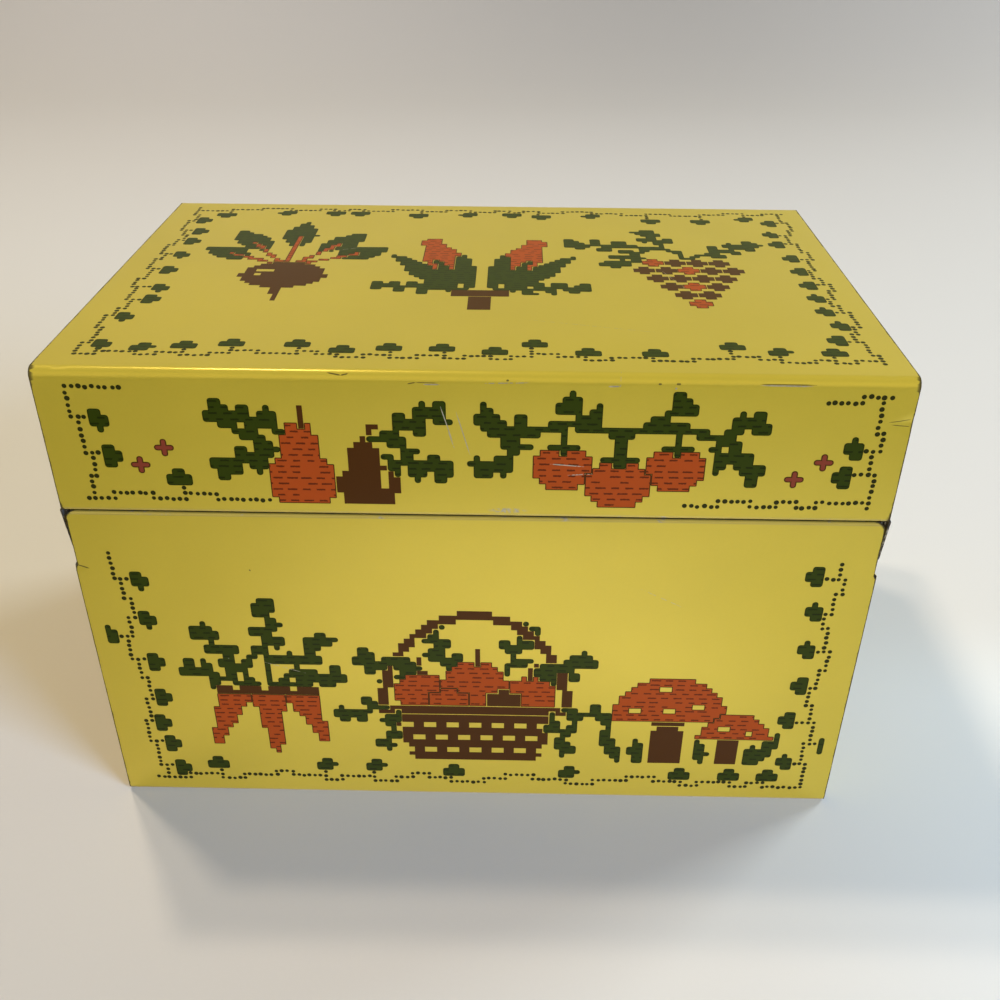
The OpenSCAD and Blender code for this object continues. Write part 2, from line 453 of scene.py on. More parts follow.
def build_end(name, body, side):
    """An end panel with its flanges, from one grid: rows run up the panel, columns round it"""
    s = bpy.context.scene.tin_sizes
    is_lid = body == LID
    fold_r = s.lid_fold_r if is_lid else s.body_fold_r
    plate_low = s.sheet + s.end_bend_r
    end_half = HALF_D - s.sheet
    plate_half = end_half - s.end_bend_r
    hem_in_r = s.sheet / 2
    hem_out_r = hem_in_r + s.sheet
    flange_low = fold_r + s.corner_relief
    base_half = HALF_D - fold_r - s.corner_relief
    low_h = TOP_Z - SKIRT_LOW_Z
    flange, turn_in = run(s.flange_w - s.end_bend_r), bend(90, s.end_bend_r - s.sheet)
    up = [flange, turn_in, run(flange_low - plate_low)]
    if is_lid:
        edge_h = TOP_Z - SEAM_Z - s.seam_gap / 2
        flange_high = edge_h - hem_out_r
        up += [
            run(flange_high - flange_low),
            run(edge_h - flange_high),
            run(low_h - s.skirt_corner_r - edge_h),
            run(s.skirt_corner_r),
        ]
        flanged = [(3, 4)]
    else:
        edge_h = BODY_EDGE_Z
        shoulder_z = SKIRT_LOW_Z - s.skirt_gap - s.shoulder_h
        neck_z = shoulder_z + s.shoulder_h
        flange_high = edge_h - s.strip_corner_r
        up += [
            run(shoulder_z - flange_low),
            jog(s.shoulder_h, s.sheet + s.neck_gap),
            run(flange_high - neck_z),
            run(edge_h - hem_out_r - flange_high),
            bend(180, hem_in_r),
            run(s.hem_w),
        ]
        flanged = [(3, 4), (5, 6)]
    row_at, row_normal, row_fold, row_ends = walk((-s.flange_w, s.sheet), 0, up, s.sheet)
    beyond = run(plate_half - base_half)
    around = [flange, turn_in, beyond, run(2 * base_half, COLUMN_STEP), beyond, turn_in, flange]
    col_at, col_normal, col_fold, col_ends = walk((-s.flange_w, -end_half), 0, around, s.sheet)
    rows, cols = len(row_at), len(col_at)
    outer, inner = np.zeros((2, rows, cols, 3))
    near_edge, grime = np.zeros((2, rows, cols))
    for i in range(rows):
        row_x, z = row_at[i]
        low_y, high_y, anchor = -plate_half, plate_half, base_half
        if is_lid and i >= row_ends[2]:
            cut = corner_cut(max(0.0, fold_r - plate_low), fold_r - z)
            low_y, high_y = low_y + cut, high_y - cut
            if z > edge_h + 1e-7:
                anchor = plate_half - 8 * MM
                cut = corner_cut(s.skirt_corner_r, s.skirt_corner_r - (low_h - z))
                slant = s.skirt_slant * (z - edge_h) / (low_h - edge_h)
                low_y = -end_half + slant + cut
                high_y = plate_half - cut
        for j in range(cols):
            col_x, y = col_at[j]
            if col_ends[2] <= j <= col_ends[5]:
                if y < -anchor:
                    y = -anchor + (y + anchor) * (low_y + anchor) / (-plate_half + anchor)
                elif y > anchor:
                    y = anchor + (y - anchor) * (high_y - anchor) / (plate_half - anchor)
                normal = (row_normal[i][0], 0.0, row_normal[i][1])
                point = (HALF_W + row_x, y, z)
                side_edge = edge_wear(min(high_y - y, y - low_y))
            else:
                normal = (col_normal[j][0], col_normal[j][1], 0.0)
                point = (HALF_W + row_x + col_x, y, z)
                side_edge = 0.0
            outer[i, j] = point
            inner[i, j] = [p + n * s.sheet for p, n in zip(point, normal)]
            low_edge = edge_wear(low_h - z) if is_lid else 0.0
            near_edge[i, j] = max(row_fold[i], col_fold[j], side_edge, low_edge)
            # Painted shade on the panel's bends beside the strips' edges, where a gap lies between them
            grime[i, j] = clip((0.56 * MM - (end_half - abs(y))) / (0.22 * MM))
            # Painted shade along the edges of the lid's skirt below the seam
            if is_lid and z > edge_h:
                grime[i, j] = max(grime[i, j], clip(1.5 * side_edge))
    present = np.zeros((rows - 1, cols - 1), bool)
    present[row_ends[2]:, col_ends[2]:col_ends[5]] = True
    present[:row_ends[2], col_ends[3]:col_ends[4]] = True
    for a, b in flanged:
        for columns in (slice(0, col_ends[2]), slice(col_ends[5], None)):
            present[row_ends[a]:row_ends[b], columns] = True
    sheet_object(name, outer, inner, present, near_edge, grime, body, side)


# Materials


class Value:
    """An output of a node that takes part in sums and products"""

    def __init__(self, w, socket):
        self.w = w
        self.socket = socket

    def __add__(self, other):
        return self.w.math("ADD", self, other)

    def __sub__(self, other):
        return self.w.math("SUBTRACT", self, other)

    def __rsub__(self, other):
        return self.w.math("SUBTRACT", other, self)

    def __mul__(self, other):
        return self.w.math("MULTIPLY", self, other)

    def __truediv__(self, other):
        return self.w.math("DIVIDE", self, other)


class Wiring:
    """Short calls that add nodes to a tree and join them"""

    def __init__(self, tree):
        self.tree = tree

    def node(self, kind, inputs=(), **settings):
        made = self.tree.nodes.new(kind)
        for name, value in settings.items():
            setattr(made, name, value)
        self.feed(made, dict(inputs))
        return made

    def feed(self, made, inputs):
        for name, value in inputs.items():
            self.join(value, made.inputs[name])

    def join(self, source, socket):
        if isinstance(source, Value):
            self.tree.links.new(source.socket, socket)
        else:
            socket.default_value = source

    def value(self, kind, output, inputs=(), **settings):
        """One output of a new node"""
        return Value(self, self.node(kind, inputs, **settings).outputs[output])

    def values(self, made):
        """All outputs of a node, by name"""
        return {socket.name: Value(self, socket) for socket in made.outputs}

    def math(self, operation, *values, clamp=False):
        return self.value("ShaderNodeMath", 0, enumerate(values), operation=operation, use_clamp=clamp)

    def most(self, *values):
        return functools.reduce(lambda a, b: self.math("MAXIMUM", a, b), values)

    def vector(self, operation, *values):
        output = "Value" if operation in ("LENGTH", "DOT_PRODUCT", "DISTANCE") else "Vector"
        return self.value("ShaderNodeVectorMath", output, enumerate(values), operation=operation)

    def scaled(self, vector, share):
        return self.value("ShaderNodeVectorMath", "Vector", {0: vector, "Scale": share}, operation="SCALE")

    def smooth(self, value, low, high, to_low=0.0, to_high=1.0):
        """An eased step from one number to another while the value goes from low to high"""
        inputs = {"Value": value, "From Min": low, "From Max": high, "To Min": to_low, "To Max": to_high}
        return self.value("ShaderNodeMapRange", "Result", inputs, interpolation_type="SMOOTHSTEP")

    def mix(self, share, *colours):
        a, b = [c if isinstance(c, Value) else (*c[:3], 1.0) for c in colours]
        return self.value("ShaderNodeMix", 2, {0: share, 6: a, 7: b}, data_type="RGBA")

    def noise(self, place, scale, detail=2.0, roughness=0.5):
        inputs = {"Vector": place, "Scale": scale, "Detail": detail, "Roughness": roughness}
        return self.value("ShaderNodeTexNoise", "Fac", inputs)

    def random(self, dimensions, place):
        name = "W" if dimensions == "1D" else "Vector"
        return self.value("ShaderNodeTexWhiteNoise", "Value", {name: place}, noise_dimensions=dimensions)

    def split(self, place):
        made = self.node("ShaderNodeSeparateXYZ", {0: place})
        return [Value(self, socket) for socket in made.outputs]

    def group(self, tree, inputs):
        return self.values(self.node("ShaderNodeGroup", inputs, node_tree=tree))

    def bump(self, shader, strength, height):
        inputs = {"Strength": strength, "Distance": 1.0, "Height": height}
        self.join(self.value("ShaderNodeBump", "Normal", inputs), shader.inputs["Normal"])


def add_socket(tree, name, kind, default=None, in_out="INPUT"):
    made = tree.interface.new_socket(name, in_out=in_out, socket_type="NodeSocket" + kind)
    if default is not None:
        made.default_value = default


def shader_group(name, inputs, outputs):
    """Turns a function that wires a node group into one that gives the group, wired on its first use"""
    def decorated(fill):
        def get():
            if name in bpy.data.node_groups:
                return bpy.data.node_groups[name]
            tree = bpy.data.node_groups.new(name, "ShaderNodeTree")
            for word, default in inputs.items():
                add_socket(tree, word, "Vector" if default is None else "Float", default)
            for word in outputs:
                add_socket(tree, word, "Float", in_out="OUTPUT")
            w = Wiring(tree)
            given = w.values(w.node("NodeGroupInput"))
            made = fill(w, *(given[word] for word in inputs))
            w.feed(w.node("NodeGroupOutput"), dict(zip(outputs, made)))
            return tree
        return get
    return decorated


def surface(name, fill, *given):
    """The material of this name, wired on its first use in the object's own coordinates"""
    if name not in bpy.data.materials:
        material = bpy.data.materials.new(name)
        material.use_nodes = True
        w = Wiring(material.node_tree)
        place = w.value("ShaderNodeTexCoord", "Object")
        fill(w, material.node_tree.nodes["Principled BSDF"], place, *given)
    return bpy.data.materials[name]


# Lines in millimetres from the lower front edge: flat direction, from, to, width, and how broken they are
SCRATCHES = (
    ("y", -5.0, 0, 84.5, -3.2, 0, 78.3, 0.10, 0.30),
    ("y", -2.6, 0, 83.6, -0.5, 0, 76.0, 0.10, 0.30),
    ("y", -3.9, 0, 80.2, -2.9, 0, 77.0, 0.07, 0.50),
    ("", 22.5, 1.5, 90.0, 22.4, 0.3, 89.4, 0.14, 0.45),
    ("", 22.4, 0.3, 89.4, 22.4, 0, 88.2, 0.12, 0.45),
    ("", 20.6, 0, 88.25, 22.3, 0, 88.3, 0.17, 0.10),
    ("", 1.7, 0, 88.5, 8.7, 0, 88.7, 0.10, 0.72),
    ("", 43.4, 0, 88.75, 51.4, 0, 88.7, 0.14, 0.50),
    ("", -7.5, 0, 88.2, -5.0, 0, 88.2, 0.14, 0.50),
    ("y", 12.0, 0, 74.6, 17.5, 0, 74.2, 0.12, 0.66),
    ("y", 15.0, 0, 72.6, 19.0, 0, 72.9, 0.10, 0.66),
    ("z", -30.0, 56.0, 90.0, -18.0, 61.0, 90.0, 0.07, 0.70),
    ("z", 8.0, 22.0, 90.0, 31.0, 17.0, 90.0, 0.06, 0.72),
    ("z", 33.0, 49.0, 90.0, 38.0, 35.0, 90.0, 0.06, 0.70),
    ("y", -38.0, 0, 33.0, -30.5, 0, 30.5, 0.07, 0.70),
    ("y", 28.0, 0, 50.5, 36.0, 0, 46.5, 0.06, 0.72),
)
# Dark lines in the same columns: painted shade along creases and dents and down the lid's corners, and small
# dark marks near the fold
CREASES = (
    ("", -67.7, 1.3, 89.95, -67.5, 0.4, 89.5, 1.10, 0.0),
    ("", -67.5, 0.4, 89.5, -67.6, 0, 87.8, 0.85, 0.0),
    ("", 67.7, 1.3, 89.95, 67.5, 0.4, 89.5, 0.80, 0.0),
    ("", 67.5, 0.4, 89.5, 67.6, 0, 87.8, 0.70, 0.0),
    ("y", 67.7, 0, 88.4, 67.7, 0, 80.5, 0.30, 0.25),
    ("y", -67.4, 0, 53.7, -65.3, 0, 53.0, 0.20, 0.0),
    ("y", 63.9, 0, 82.8, 67.5, 0, 83.3, 0.10, 0.25),
    ("y", 64.4, 0, 82.4, 67.5, 0, 82.0, 0.10, 0.35),
    ("", -22.1, 0.6, 89.67, -20.0, 0.3, 89.4, 0.17, 0.0),
    ("", -20.0, 0.3, 89.4, -18.9, 0.5, 89.6, 0.17, 0.0),
    ("", -9.9, 0, 88.25, -8.7, 0, 88.5, 0.14, 0.2),
    ("", -8.7, 0, 88.5, -5.3, 0, 88.45, 0.10, 0.5),
    ("", 5.1, 0.1, 89.0, 5.5, 0.1, 89.0, 0.20, 0.0),
    ("", 28.1, 0, 88.76, 28.6, 0, 88.76, 0.22, 0.0),
    ("", 30.8, 0, 88.8, 31.5, 0, 88.8, 0.22, 0.0),
    ("", 42.6, 0, 88.95, 51.9, 0.05, 88.9, 0.14, 0.25),
    ("y", -38.1, 0, 53.0, -37.9, 0, 53.1, 0.28, 0.0),
)


@shader_group(
    "Straight scratch",
    {"Place": None, "Grit": 0.5, "From": None, "To": None, "Width": 0.0001, "Broken": 0.5},
    ["Mask"],
)
def scratch_group(w, place, grit, start, end, width, broken):
    """One straight scratch between two points: 1 on the line, broken up along it by the grit"""
    along = w.vector("SUBTRACT", end, start)
    offset = w.vector("SUBTRACT", place, start)
    squared = w.vector("DOT_PRODUCT", along, along)
    share = w.math("DIVIDE", w.vector("DOT_PRODUCT", offset, along), squared, clamp=True)
    gap = w.vector("DISTANCE", offset, w.scaled(along, share))
    taper = width * w.smooth(w.math("PINGPONG", share, 0.5), 0.0, 0.2, 0.25, 1.0)
    low = broken * 0.62
    return [w.smooth(gap, taper * 0.35, taper, 1.0, 0.0) * w.smooth(grit, low, low + 0.08)]


def line_masks(w, lines, place, grit):
    """The greatest mask of several lines. A flat direction hardly counts, since the panels sag."""
    places, masks = {}, []
    for flat, x0, y0, z0, x1, y1, z1, width, broken in lines:
        scale = [0.15 if axis == flat else 1.0 for axis in "xyz"]
        if flat not in places:
            places[flat] = w.vector("MULTIPLY", place, scale)
        ends = [
            [c * k for c, k in zip((x * MM, y * MM - HALF_D, z * MM), scale)]
            for x, y, z in ((x0, y0, z0), (x1, y1, z1))
        ]
        inputs = {"Place": places[flat], "Grit": grit, "From": ends[0], "To": ends[1],
                  "Width": width * MM, "Broken": broken}
        masks.append(w.group(scratch_group(), inputs)["Mask"])
    return w.most(*masks)


@shader_group("Damage to the paint", {"Place": None, "Near edge": 0.0, "Wear": 0.5}, ["Bare", "Dull", "Dark"])
def damage_group(w, place, near, wear):
    """Where the paint is gone, where it is only dulled, and where it is dark: painted shade along creases and
    dents, with small dark marks
    """
    grit = w.noise(place, 1500.0)
    scuff_at = w.vector("SUBTRACT", place, (5.5 * MM, -HALF_D, 65.8 * MM))
    stretched = w.vector("MULTIPLY", scuff_at, (0.16, 1.0, 1.0))
    scuff = w.smooth(w.vector("LENGTH", stretched), 0.2 * MM, 0.6 * MM, 1.0, 0.0) * w.smooth(grit, 0.44, 0.56)
    patches = w.noise(w.vector("MULTIPLY", place, (0.45, 1.0, 1.0)), 420.0, 3.0, 0.65)
    folds = w.smooth(grit * 0.16 + (patches * 0.55 + near * (wear * 0.4 + 0.55)), 1.17, 1.23)
    chips = w.values(w.node("ShaderNodeTexVoronoi", {"Vector": place, "Scale": 95.0}, feature="F1"))
    chosen = w.math("GREATER_THAN", w.split(chips["Color"])[0], 0.72)
    chip = w.smooth(chips["Distance"], 0.010, 0.020, 1.0, 0.0) * chosen
    bare = w.most(line_masks(w, SCRATCHES, place, grit), scuff, w.most(folds, chip))
    hair = w.noise(w.vector("MULTIPLY", place, (1.0, 14.0, 14.0)), 160.0, 2.0, 0.7)
    dark = line_masks(w, CREASES, place, grit)
    return w.math("MINIMUM", bare, 1.0), w.smooth(hair, 0.58, 0.74), dark


@shader_group("Rows of dashes", {"Stitches": None}, ["Mask"])
def dash_group(w, stitches):
    """Rows of short dark dashes, one row to each row of stitches, from the pattern's own map"""
    u, v, _ = w.split(stitches)
    row = w.math("FLOOR", v)
    pitch = 2.2
    moved = u + w.random("1D", row) * pitch
    count = (w.noise(stitches, 1.7) * 0.5 + moved) / pitch
    along = w.math("ABSOLUTE", w.math("FRACT", count) - 0.5)
    up = w.math("ABSOLUTE", w.math("FRACT", v) - 0.5 + (w.noise(stitches, 4.0) * 0.20 - 0.10))
    cell = w.value("ShaderNodeCombineXYZ", 0, {0: w.math("FLOOR", count), 1: row})
    chance = w.random("2D", cell)
    longer = chance * 0.16 + 0.18
    dash = w.smooth(along, longer, longer + 0.07, 1.0, 0.0) * w.smooth(up, 0.11, 0.19, 1.0, 0.0)
    return [dash * w.math("GREATER_THAN", chance, 0.12)]


def painted(w, shader, place, tint, roughness, dashes=0.0, metallic=0.04, gloss=0.13, coat=0.0):
    """Glossy ink or enamel with wear down to the tinplate, and darkening that is dirt together with painted
    shade in its creases, gaps and joints
    """
    near, grime = [
        w.value("ShaderNodeAttribute", "Fac", attribute_name=word) for word in ("near_edge", "grime")
    ]
    wear = bpy.context.scene.paint_colours.wear
    damage = w.group(damage_group(), {"Place": place, "Near edge": near, "Wear": wear})
    bare = damage["Bare"]
    if dashes:
        stitches = w.value("ShaderNodeUVMap", "UV", uv_map="stitches")
        mask = w.group(dash_group(), {"Stitches": stitches})["Mask"]
        tint = w.mix(mask, tint, [c * dashes for c in tint])
    cloud = w.noise(place, 34.0, 3.0, 0.55)
    fine = w.noise(place, 2600.0, 2.0, 0.6)
    coloured = w.scaled(tint, cloud * 0.14 + (fine * 0.05 + 0.905))
    coloured = w.mix(w.smooth(near, 0.78, 0.96) * 0.36, coloured, (0.40, 0.33, 0.16))
    metal = w.mix(w.noise(place, 1800.0), (0.24, 0.21, 0.15), (0.62, 0.58, 0.46))
    coloured = w.mix(bare, coloured, metal)
    # Darkening from the sheet's darkening attribute, broken up by noise, and from the dark crease lines: dirt
    # together with painted shade in gaps, creases and dents, which also takes gloss and metal away
    ragged = w.noise(place, 420.0, 4.0, 0.65) * 1.1 + (grime - 0.55)
    dirt_and_shade = w.most(w.smooth(ragged, 0.36, 0.72) * 0.94, damage["Dark"] * 0.85)
    clean_and_unshaded = 1.0 - dirt_and_shade
    w.feed(shader, {
        "Base Color": w.mix(dirt_and_shade, coloured, (0.042, 0.032, 0.018)),
        "Metallic": clean_and_unshaded * (bare * 0.2 + metallic),
        "Roughness": w.most(bare, dirt_and_shade) * 0.15 + (cloud * 0.05 + (damage["Dull"] * 0.02 + roughness)),
        "Specular IOR Level": clean_and_unshaded * gloss,
    })
    if coat:
        w.feed(shader, {"Coat Weight": clean_and_unshaded * coat, "Coat Roughness": 0.14})
    peel = w.noise(place, 900.0, 1.0)
    swells = w.noise(place, 60.0, 0.0, 0.4)
    w.bump(shader, 0.6, peel * (0.0016 * MM) + swells * (0.012 * MM))


# For each ink: the material's name, its colour, the colour's strength, roughness, and the shade of its dashes
INKS = {
    "orange": ("Orange ink", "orange", 1.0, 0.27, 0.30),
    "green": ("Green ink", "green", 1.0, 0.27, 0.42),
    "brown": ("Brown ink", "brown", 1.0, 0.26, 0.0),
    "stem": ("Border ink", "stem", 1.0, 0.28, 0.0),
    "flower": ("Red ink", "flower", 1.0, 0.28, 0.0),
    "green edge": ("Green outline", "green", 0.62, 0.27, 0.0),
    "dark outline": ("Dark outline", "brown", 1.0, 0.27, 0.0),
}


def ink_material(ink):
    name, word, strength, roughness, dashes = INKS[ink]
    tint = [c * strength for c in getattr(bpy.context.scene.paint_colours, word)]
    return surface(name, painted, tint, roughness, dashes)


def tinplate(w, shader, place, tin):
    """Bare tinplate of the inside: rolled grain, stains and fine scratches"""
    grain = w.noise(w.vector("MULTIPLY", place, (1.0, 26.0, 26.0)), 120.0, 4.0, 0.65)
    stain = w.noise(place, 48.0, 4.0, 0.6)
    tone = w.mix(w.smooth(stain, 0.40, 0.84), tin, [c * 0.74 for c in tin])
    w.feed(shader, {
        "Base Color": w.mix(w.smooth(grain, 0.50, 0.72) * 0.35, tone, (0.50, 0.49, 0.47)),
        "Metallic": 0.88,
        "Roughness": grain * 0.18 + (stain * 0.14 + 0.22),
    })
    w.bump(shader, 0.5, grain * (0.003 * MM))


def raw_edge(w, shader, place, raw):
    """Cut edge of the sheet: dark, with bright worn spots"""
    spots = w.noise(place, 700.0, 3.0, 0.6)
    w.feed(shader, {
        "Base Color": w.mix(w.smooth(spots, 0.56, 0.70), raw, (0.42, 0.40, 0.35)),
        "Metallic": 0.7,
        "Roughness": spots * 0.3 + 0.35,
    })


def sheet_materials():
    """Enamel for the outside, bare tinplate for the inside, and the cut edge"""
    colours = bpy.context.scene.paint_colours
    return (
        surface("Yellow enamel", painted, tuple(colours.enamel), 0.27, 0.0, 0.38, 0.45, 0.3),
        surface("Bare tinplate", tinplate, tuple(colours.tin)),
        surface("Raw edge", raw_edge, tuple(colours.raw)),
    )


def steel_wire(w, shader, place):
    """Drawn steel wire with a little rust in its scratches"""
    drawn = w.noise(w.vector("MULTIPLY", place, (1.0, 40.0, 40.0)), 90.0, 4.0, 0.7)
    rust = w.smooth(w.noise(place, 260.0, 4.0, 0.6), 0.56, 0.70)
    w.feed(shader, {
        "Base Color": w.mix(rust, (0.50, 0.49, 0.46), (0.16, 0.075, 0.035)),
        "Metallic": rust * -0.7 + 1.0,
        "Roughness": rust * 0.35 + (drawn * 0.2 + 0.24),
    })
    w.bump(shader, 0.5, drawn * (0.004 * MM))


# Print: a chart holds a colour and a shape number for each stitch of a panel


class Chart:
    """Stitches of one panel, drawn shape by shape with later shapes on top"""

    def __init__(self):
        self.cells = {}
        self.dots = set()
        self.count = 0
        self.place = (0, 0, 1)

    def at(self, x, y, flip=1):
        self.place = (x, y, flip)
        return self

    def fill(self, colour, inside, low, high, more=False):
        """Every stitch between two corners whose middle is inside the shape. More adds to the last shape."""
        self.count += 0 if more else 1
        number = 0 if colour == "green" else self.count
        x, y, flip = self.place
        for i in range(math.floor(low[0]), math.ceil(high[0])):
            for j in range(math.floor(low[1]), math.ceil(high[1])):
                if inside(i + 0.5, j + 0.5):
                    at = (x + (i if flip > 0 else -1 - i), y + j)
                    if colour is None:
                        self.cells.pop(at, None)
                    else:
                        self.cells[at] = (colour, number)

    def oval(self, colour, x, y, rx, ry, floor=-99.0, more=False):
        def inside(i, j):
            return ((i - x) / rx) ** 2 + ((j - y) / ry) ** 2 <= 1 and j > floor

        self.fill(colour, inside, (x - rx, y - ry), (x + rx, y + ry), more)

    def taper(self, colour, a, b, w0, w1, belly=0.0, more=False):
        """A bar from a to b whose half width runs from w0 to w1, with an extra belly half way"""
        (x0, y0), (x1, y1) = a, b
        length = math.hypot(x1 - x0, y1 - y0)
        c, s = (x1 - x0) / length, (y1 - y0) / length

        def inside(i, j):
            t = ((i - x0) * c + (j - y0) * s) / length
            off = abs((j - y0) * c - (i - x0) * s)
            return 0 <= t <= 1 and off <= w0 + (w1 - w0) * t + belly * math.sin(math.pi * t)

        r = max(w0, w1) + belly
        low = (min(x0, x1) - r, min(y0, y1) - r)
        high = (max(x0, x1) + r, max(y0, y1) + r)
        self.fill(colour, inside, low, high, more)

    def leaf(self, x0, y0, x1, y1, w):
        self.taper("green", (x0, y0), (x1, y1), 0.4, 0.2, w)

    def line(self, colour, points, w, more=False):
        for a, b in zip(points, points[1:]):
            self.taper(colour, a, b, w, w, 0.0, more)
            self.oval(colour, *b, w + 0.1, w + 0.1, more=True)
            more = True

    def block(self, colour, x0, y0, x1, y1):
        self.fill(colour, lambda i, j: x0 < i < x1 and y0 < j < y1, (x0, y0), (x1, y1))

    def cut(self, x, y, w=1, h=1):
        self.block(None, x, y, x + w, y + h)

    def free(self, cells):
        """No stitch or dot within one stitch of any of these"""
        near = [(x + i, y + j) for x, y in cells for i in (-1, 0, 1) for j in (-1, 0, 1)]
        return not any(at in self.cells for at in near)

    def joined(self):
        """Green stitches that only touch at a corner get one more stitch between them"""
        for (i, j), (colour, _) in sorted(self.cells.items()):
            for di in (-1, 1):
                if colour == "green" and self.cells.get((i + di, j + 1), (None,))[0] == "green":
                    if (i + di, j) not in self.cells and (i, j + 1) not in self.cells:
                        self.cells[i + di, j] = ("green", 0)
        return self.cells


def frond(c, x, y, angle, reach, lobe):
    """A feathery leaf: a rib with leaflets that alternate on its two sides"""
    a = math.radians(angle)
    s, k = math.sin(a), math.cos(a)
    c.line("green", ((x, y), (x + reach * s, y + reach * k)), 0.6)
    count = max(2, round(reach / 2.4))
    for n in range(count):
        along = reach * (0.30 + 0.70 * n / (count - 1))
        size = (3.3 - 1.2 * n / count) * lobe
        for side in ((1, -1), (-1, 1))[n % 2][:1 if n < count - 1 else 2]:
            b = a + side * math.radians(62 if n < count - 1 else 40)
            px, py = x + along * s, y + along * k
            c.leaf(px, py, px + size * math.sin(b), py + size * math.cos(b), 1.0)
    c.oval("green", x + (reach + 0.4) * s, y + (reach + 0.4) * k, 1.4 * lobe, 1.2 * lobe)


def fronds(c, lobe, *rows):
    for row in rows:
        frond(c, *row, lobe)


def carrots(c):
    for angle, reach in ((-70, 10), (-36, 14), (4, 17), (40, 13), (72, 9)):
        frond(c, angle / 24, 16, angle, reach, 1.1)
    for x, tip, lean in ((-5.5, 2, -5), (5.5, 3, 4), (0, 0, 0.5)):
        c.taper("orange", (x, 15), (x + lean, tip), 3.2, 0.7)
    c.block("brown", -9, 14, 9, 16)
    for x in (-6, -1, 4):
        c.cut(x, 15)


def apple(c, x, y, r, lean):
    c.oval("orange", x, y, r, r * 0.93)
    c.cut(x - 1, y + r - 1.5, 2, 1.5)
    c.line("brown", ((x, y + r - 1), (x + 0.6 * lean, y + r + 2)), 0.6)
    c.leaf(x + 0.5 * lean, y + r, x + 6 * lean, y + r + 2.4, 1.5)


def basket(c):
    fronds(c, 1.15, (-9, 16, -52, 12), (-4, 19, -16, 11), (9, 17, 56, 11), (5, 20, 20, 10))
    turns = [math.radians(a) for a in range(0, 181, 12)]
    c.line("brown", [(16 * math.cos(a), 12 + 21 * math.sin(a)) for a in turns], 0.9)
    apple(c, -9, 16, 5, -1)
    apple(c, 9.5, 15.5, 4.6, 1)
    c.oval("orange", 0, 18, 5.6, 5.2)
    c.line("brown", ((0, 22.5), (0.6, 25)), 0.6)
    c.oval("orange", -4.5, 13.8, 3.6, 3.2)
    c.oval("brown", 5, 13.5, 3.4, 3.2)
    c.taper("brown", (0, 0), (0, 11), 11.2, 14.4)
    c.block("brown", -17, 11, 17, 13)
    for j in (2, 5, 8):
        for k in range(-3, 4):
            x = 4 * k + (2 if j == 5 else 0)
            c.cut(x - 1, j, 2)
    fronds(c, 1.0, (-15, 13, -105, 8), (-13, 12, -160, 8), (15, 13, 108, 8), (13, 12, 158, 9))


def mushrooms(c):
    for x0, x1, y1 in ((-11, -15, 8), (-8, -8.5, 6), (3.5, 2.5, 6), (13, 17, 8), (12, 12.5, 5)):
        c.leaf(x0, 0, x1, y1, 1.2)
    c.taper("brown", (-3, 0), (-3, 11), 3.4, 2.2)
    c.oval("orange", -3, 10, 10.4, 10.4, 10)
    c.block("brown", -6, 9, 0, 10)
    for x, y in ((-10, 12), (-5, 17), (1, 13), (-4, 12)):
        c.cut(x, y, 2)
    c.taper("brown", (8, 0), (8, 7), 2.2, 1.6)
    c.oval("orange", 9, 6, 6.6, 6.0, 6)
    c.cut(6, 8, 2)
    c.cut(11, 7)


def pears(c):
    fronds(c, 1.15, (-5, 13, -70, 11), (-5, 11, -108, 11), (6, 12, 66, 11), (6, 10, 104, 11))
    c.oval("brown", 6, 4.4, 4.8, 4.5)
    c.oval("brown", 5.6, 9, 2.6, 3.6, more=True)
    c.line("brown", ((5.6, 12.4), (7, 14.6)), 0.6, more=True)
    c.oval("orange", -4, 5.2, 5.4, 5.2)
    c.oval("orange", -4, 11, 3, 4.2, more=True)
    c.line("brown", ((-4, 14.5), (-3, 18)), 0.6)
    c.cut(8, 4, 1, 3)


def tomatoes(c):
    c.line("green", ((-17, 13), (-8, 15.5), (0, 14), (8, 15.5), (17, 12)), 0.8)
    fronds(c, 1.1, (-13, 13, -64, 7), (-13, 12, -118, 8), (-3, 14, -48, 6), (3, 15, 56, 6), (13, 13, 68, 7),
           (13, 12, 124, 8))
    for x, y, r in ((-8.5, 8, 4.4), (8.5, 8, 4.4), (0, 5, 4.8)):
        c.oval("orange", x, y, r, r * 0.95)
        c.line("green", ((x, y + r - 1), (x, y + r + 3)), 0.5)
        c.block("green", x - 3, y + r - 1, x + 3, y + r)
        c.block("green", x - 1, y + r - 2, x + 1, y + r)


def beet(c):
    for angle, reach in ((-60, 17), (-31, 22), (-2, 25), (29, 21), (58, 18)):
        s, k = math.sin(math.radians(angle)), math.cos(math.radians(angle))
        x, y = 2.4 * s, 10
        c.leaf(x + reach * 0.36 * s, y + reach * 0.36 * k, x + reach * s, y + reach * k, 2.9)
        c.line("orange", ((x, y), (x + reach * 0.62 * s, y + reach * 0.62 * k)), 0.55)
    c.oval("brown", 0, 4.4, 7.6, 6.6)
    c.line("brown", ((0, -1), (0, -3.5)), 1.2, more=True)
    c.line("brown", ((0, -3), (0.6, -7.5)), 0.55, more=True)
    c.cut(-5, 6, 3)
    c.cut(-5, 4)


def grapes(c):
    c.line("green", ((0, 18), (-1, 22), (-4, 24), (-10, 25)), 0.8)
    fronds(c, 1.3, (-6, 24, -140, 11), (-7, 24, -80, 13), (-3, 24, -20, 9), (1, 19, 58, 14))
    for row, (y, n) in enumerate(((14, 4), (10, 5), (6, 4), (2, 3), (-2, 2), (-6, 1))):
        for k in range(n):
            x = round(4 * (k - (n - 1) / 2))
            c.block("orange" if (row + 2 * k) % 5 == 0 else "brown", x - 2, y, x + 2, y + 4)
            for dx, dy in ((-2, 0), (1, 0), (-2, 3), (1, 3)):
                c.cut(x + dx, y + dy)


